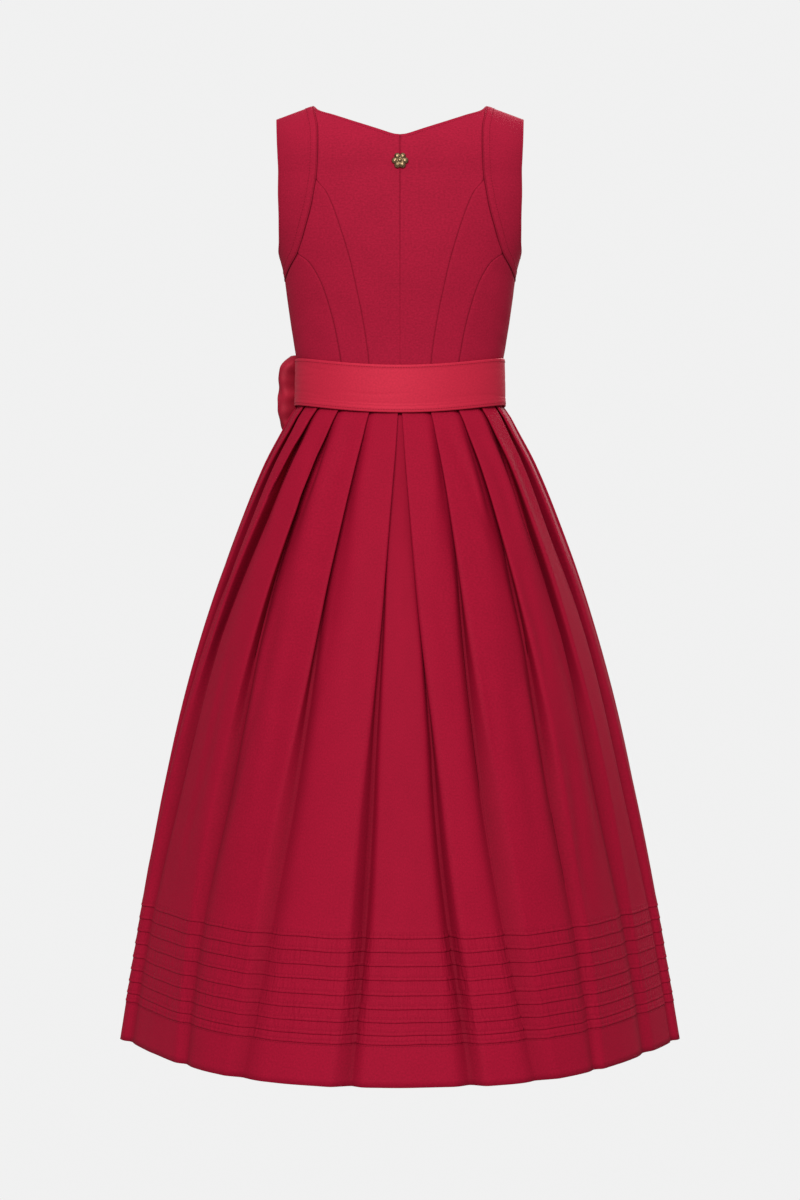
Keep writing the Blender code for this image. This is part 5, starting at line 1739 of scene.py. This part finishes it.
# Shade painted on the loops: lighter at the knot and darker towards their folded ends; LOOP_FOLD_SHADE
# paints their folds darker and lighter in turn.
LOOP_SHADE = (0.24, 0.50)
LOOP_FOLD_SHADE = 0.12
TAILS = (
    # name, top_deg, end_deg, top_level, end_level, out
    ("bow_tail_back", 139.0, 131.0, -0.3592, -0.700, 0.0020),
    ("bow_tail_front", 137.5, 147.0, -0.3620, -0.745, 0.0075),
)
TAIL_TOP_WIDTH = 0.020
TAIL_WIDTH = 0.057
TAIL_TOP_OUT = 0.0085
TAIL_SETTLES = 0.060
TAIL_SLANT = 0.35
TAIL_CLEAR = 1.5 * MM
TAIL_WAVE = 1.5 * MM
TAIL_PINCH = 0.7 * MM


def bow_frame():
    """The knot's centre, and the directions towards the back, outwards and up."""
    angle = math.radians(KNOT_ANGLE)
    share = (KNOT_LEVEL - SASH_TOP) / (SASH_BOTTOM - SASH_TOP)
    surface = sash_point(angle, share, SATIN_WALL / 2)
    out = (sash_point(angle, share, 1.0) - sash_point(angle, share)).normalized()
    back = Vector((0.0, 0.0, 1.0)).cross(out)
    if back.y < 0:
        back.negate()
    centre = surface + out * (KNOT_HALF[1] + SEAM)
    centre.z = KNOT_LEVEL
    return centre, back, out


def bow_knot():
    """The wrap over the middle of the bow: its folds run up and down, round the knot."""
    centre, back, out = bow_frame()
    up = Vector((0.0, 0.0, 1.0))
    work = bmesh.new()
    bmesh.ops.create_uvsphere(work, u_segments=96, v_segments=48, radius=1.0)
    chart = work.loops.layers.uv.new("cut")
    places = {}
    for vertex in work.verts:
        x, y, z = vertex.co
        barrel = 1.0 + KNOT_BARREL * (1.0 - z * z)
        folds = math.sin(11.0 * x + 0.8 * z + 0.5) + 0.6 * math.sin(19.0 * x - 1.1 * z + 2.0)
        depth = 1.0 - KNOT_FOLDS * (1.0 + folds) * (1.0 - x * x)
        places[vertex.index] = (KNOT_HALF[0] * x, KNOT_HALF[2] * math.atan2(z, y + 1e-9))
        vertex.co = centre + back * (KNOT_HALF[0] * x * barrel) + out * (KNOT_HALF[1] * y * depth)
        vertex.co += up * (KNOT_HALF[2] * z * (0.5 + 0.5 * depth))
    for face in work.faces:
        for loop in face.loops:
            loop[chart].uv = places[loop.vert.index]
    knot = finished(work, "satin_knot")
    dressed(knot, satin, "bow_knot")


def bow_loop(name, node, sign, seed):
    centre, back, out = bow_frame()
    up = Vector((0.0, 0.0, 1.0))
    rows, columns = 48, 90
    middle = np.zeros((rows, columns, 3))
    cut = np.zeros((rows, columns, 2))
    shade = np.zeros((rows, columns))
    for r in range(rows):
        high = 0.5 - r / (rows - 1)
        for c in range(columns):
            place = 12.0 * c / (columns - 1)
            share = read_curve(LOOP_PLAN, place, 1)
            aside = read_curve(LOOP_PLAN, place, 2)
            opened = ease((share - 0.2) / 0.75)
            height = mix(LOOP_ROOT_HEIGHT, LOOP_END_HEIGHT, opened)
            side = 1.0 if place < 6 else -1.0
            fold = math.cos(4 * math.pi * high + seed) + 0.55 * math.cos(9.4 * math.pi * high + 2.0 * seed)
            fold += 0.35 * math.cos(15.0 * math.pi * high + 3.1 * seed) * (1 - opened)
            crease = fold * mix(*LOOP_CREASE, opened) * MM * math.tanh(1.5 * abs(place - 6)) * side
            lobe = 1.0 + 0.016 * math.sin(13.0 * high + 0.7 * place + seed) * opened
            lobe -= LOOP_CORNERS[0] * max(0.0, 2 * high) ** 4
            lobe -= LOOP_CORNERS[1] * max(0.0, -2 * high) ** 6
            p = centre + back * (sign * LOOP_LENGTH * share * lobe) + out * (aside + crease)
            middle[r, c] = p + up * (high * height - LOOP_SAG * opened)
            cut[r, c] = (place * LOOP_STEP, high * LOOP_END_HEIGHT)
            # Painted shade along the loop, and painted shade and light across its folds.
            shade[r, c] = mix(*LOOP_SHADE, opened) - LOOP_FOLD_SHADE * fold
    if sign > 0:
        middle, cut, shade = middle[:, ::-1], cut[:, ::-1], shade[:, ::-1]
    piece = closed_cloth(name, middle, cut, SATIN_WALL, np.clip(shade, 0.0, 1.0))
    dressed(piece, satin, node)


def tail_place(tail, share, across, out=0.0):
    """A point of a tail and its place on the flat cloth: share runs down it, across from side to side."""
    node, top_angle, end_angle, top_level, end_level, lift = tail
    level = mix(top_level, end_level, share)
    settled = ease((top_level - level) / TAIL_SETTLES)
    centre = math.radians(mix(top_angle, end_angle, share))
    away = mix(TAIL_TOP_OUT, apron_out(level), settled) + lift
    aside = (across - 0.5) * mix(TAIL_TOP_WIDTH, TAIL_WIDTH, settled)
    wave = TAIL_WAVE * math.sin(6.0 * share + 7.5 * across) * settled
    pinch = TAIL_PINCH * math.sin(22.0 * across) * (1 - ease(share / 0.30))
    angle = centre + aside / reach(centre, level)
    p = skirt_places(angle, level, away + TAIL_CLEAR + wave + pinch + out)
    p[2] -= aside * TAIL_SLANT * ease((share - 0.85) / 0.15)
    return p, (aside, level)


def bow_tail(tail):
    node, top_level, end_level = tail[0], tail[3], tail[4]
    rows, columns = 110, 26
    middle = np.zeros((rows, columns, 3))
    cut = np.zeros((rows, columns, 2))
    for r in range(rows):
        for c in range(columns):
            middle[r, c], cut[r, c] = tail_place(tail, r / (rows - 1), c / (columns - 1))
    piece = closed_cloth("satin_" + node, middle, cut, SATIN_WALL)
    dressed(piece, satin, node)


def tail_stitches(tail):
    """Down the narrow hems of both long sides."""
    lift = SATIN_WALL / 2 + THREAD_LIFT
    shares = np.linspace(0.10, 0.985, 150)
    routes = [[tail_place(tail, share, side, lift)[0] for share in shares] for side in (0.09, 0.91)]
    sewn_lines(tail[0] + "_stitches", routes)


bow_knot()
bow_loop("satin_loop_back", "bow_loop_back", 1.0, 0.7)
bow_loop("satin_loop_front", "bow_loop_front", -1.0, 2.3)
for tail in TAILS:
    bow_tail(tail)
    tail_stitches(tail)


# The pin: a small cast blossom with six petals round a low dome, of old brass, pinned through the
# centre back seam below the neckline.
PIN_LEVEL = -0.0830
PIN_RADIUS = 10.5 * MM
PIN_PETALS = 6
PETAL_POWER = 0.7
PETAL_NOTCH = 0.74
PETAL_DIP = 0.55
VEIN_WIDTH = 0.18
VEIN_DEPTH = 0.10
PIN_RINGS = (
    # share of radius, height in millimetres
    (0.00, 3.6),
    (0.08, 3.55),
    (0.16, 3.2),
    (0.22, 2.5),
    (0.27, 1.9),
    (0.33, 2.2),
    (0.42, 2.7),
    (0.56, 3.0),
    (0.72, 2.8),
    (0.84, 2.3),
    (0.94, 1.6),
    (0.98, 0.8),
    (0.97, 0.0),
)


def brass_pin():
    p, normal = bodice_frame(0.0, down(PIN_LEVEL))
    seat = p + normal * (BODICE_WALL / 2 + SEAM)
    right = Vector((1.0, 0.0, 0.0))
    up = normal.cross(right)
    count = 16 * PIN_PETALS
    work = bmesh.new()
    rings = [[work.verts.new(seat + normal * (PIN_RINGS[0][1] * MM))]]
    for share, height in PIN_RINGS[1:]:
        lobed = ease((share - 0.2) / 0.5)
        ring = []
        for i in range(count):
            turn = 2 * math.pi * i / count
            petal = abs(math.cos(PIN_PETALS * turn / 2)) ** PETAL_POWER
            vein = math.exp(-((math.sin(PIN_PETALS * turn / 2) / VEIN_WIDTH) ** 2))
            radius = PIN_RADIUS * share * mix(1.0, mix(PETAL_NOTCH, 1.0, petal), lobed)
            raised = height * MM * mix(1.0, mix(PETAL_DIP, 1.0, petal), lobed)
            raised *= 1.0 - VEIN_DEPTH * vein * lobed
            place = right * (radius * math.cos(turn)) + up * (radius * math.sin(turn)) + normal * raised
            ring.append(work.verts.new(seat + place))
        rings.append(ring)
    joined_rings(work, rings, count)
    work.faces.new(list(reversed(rings[-1])))
    dressed(finished(work, "brass_blossom"), brass, "pin")


brass_pin()
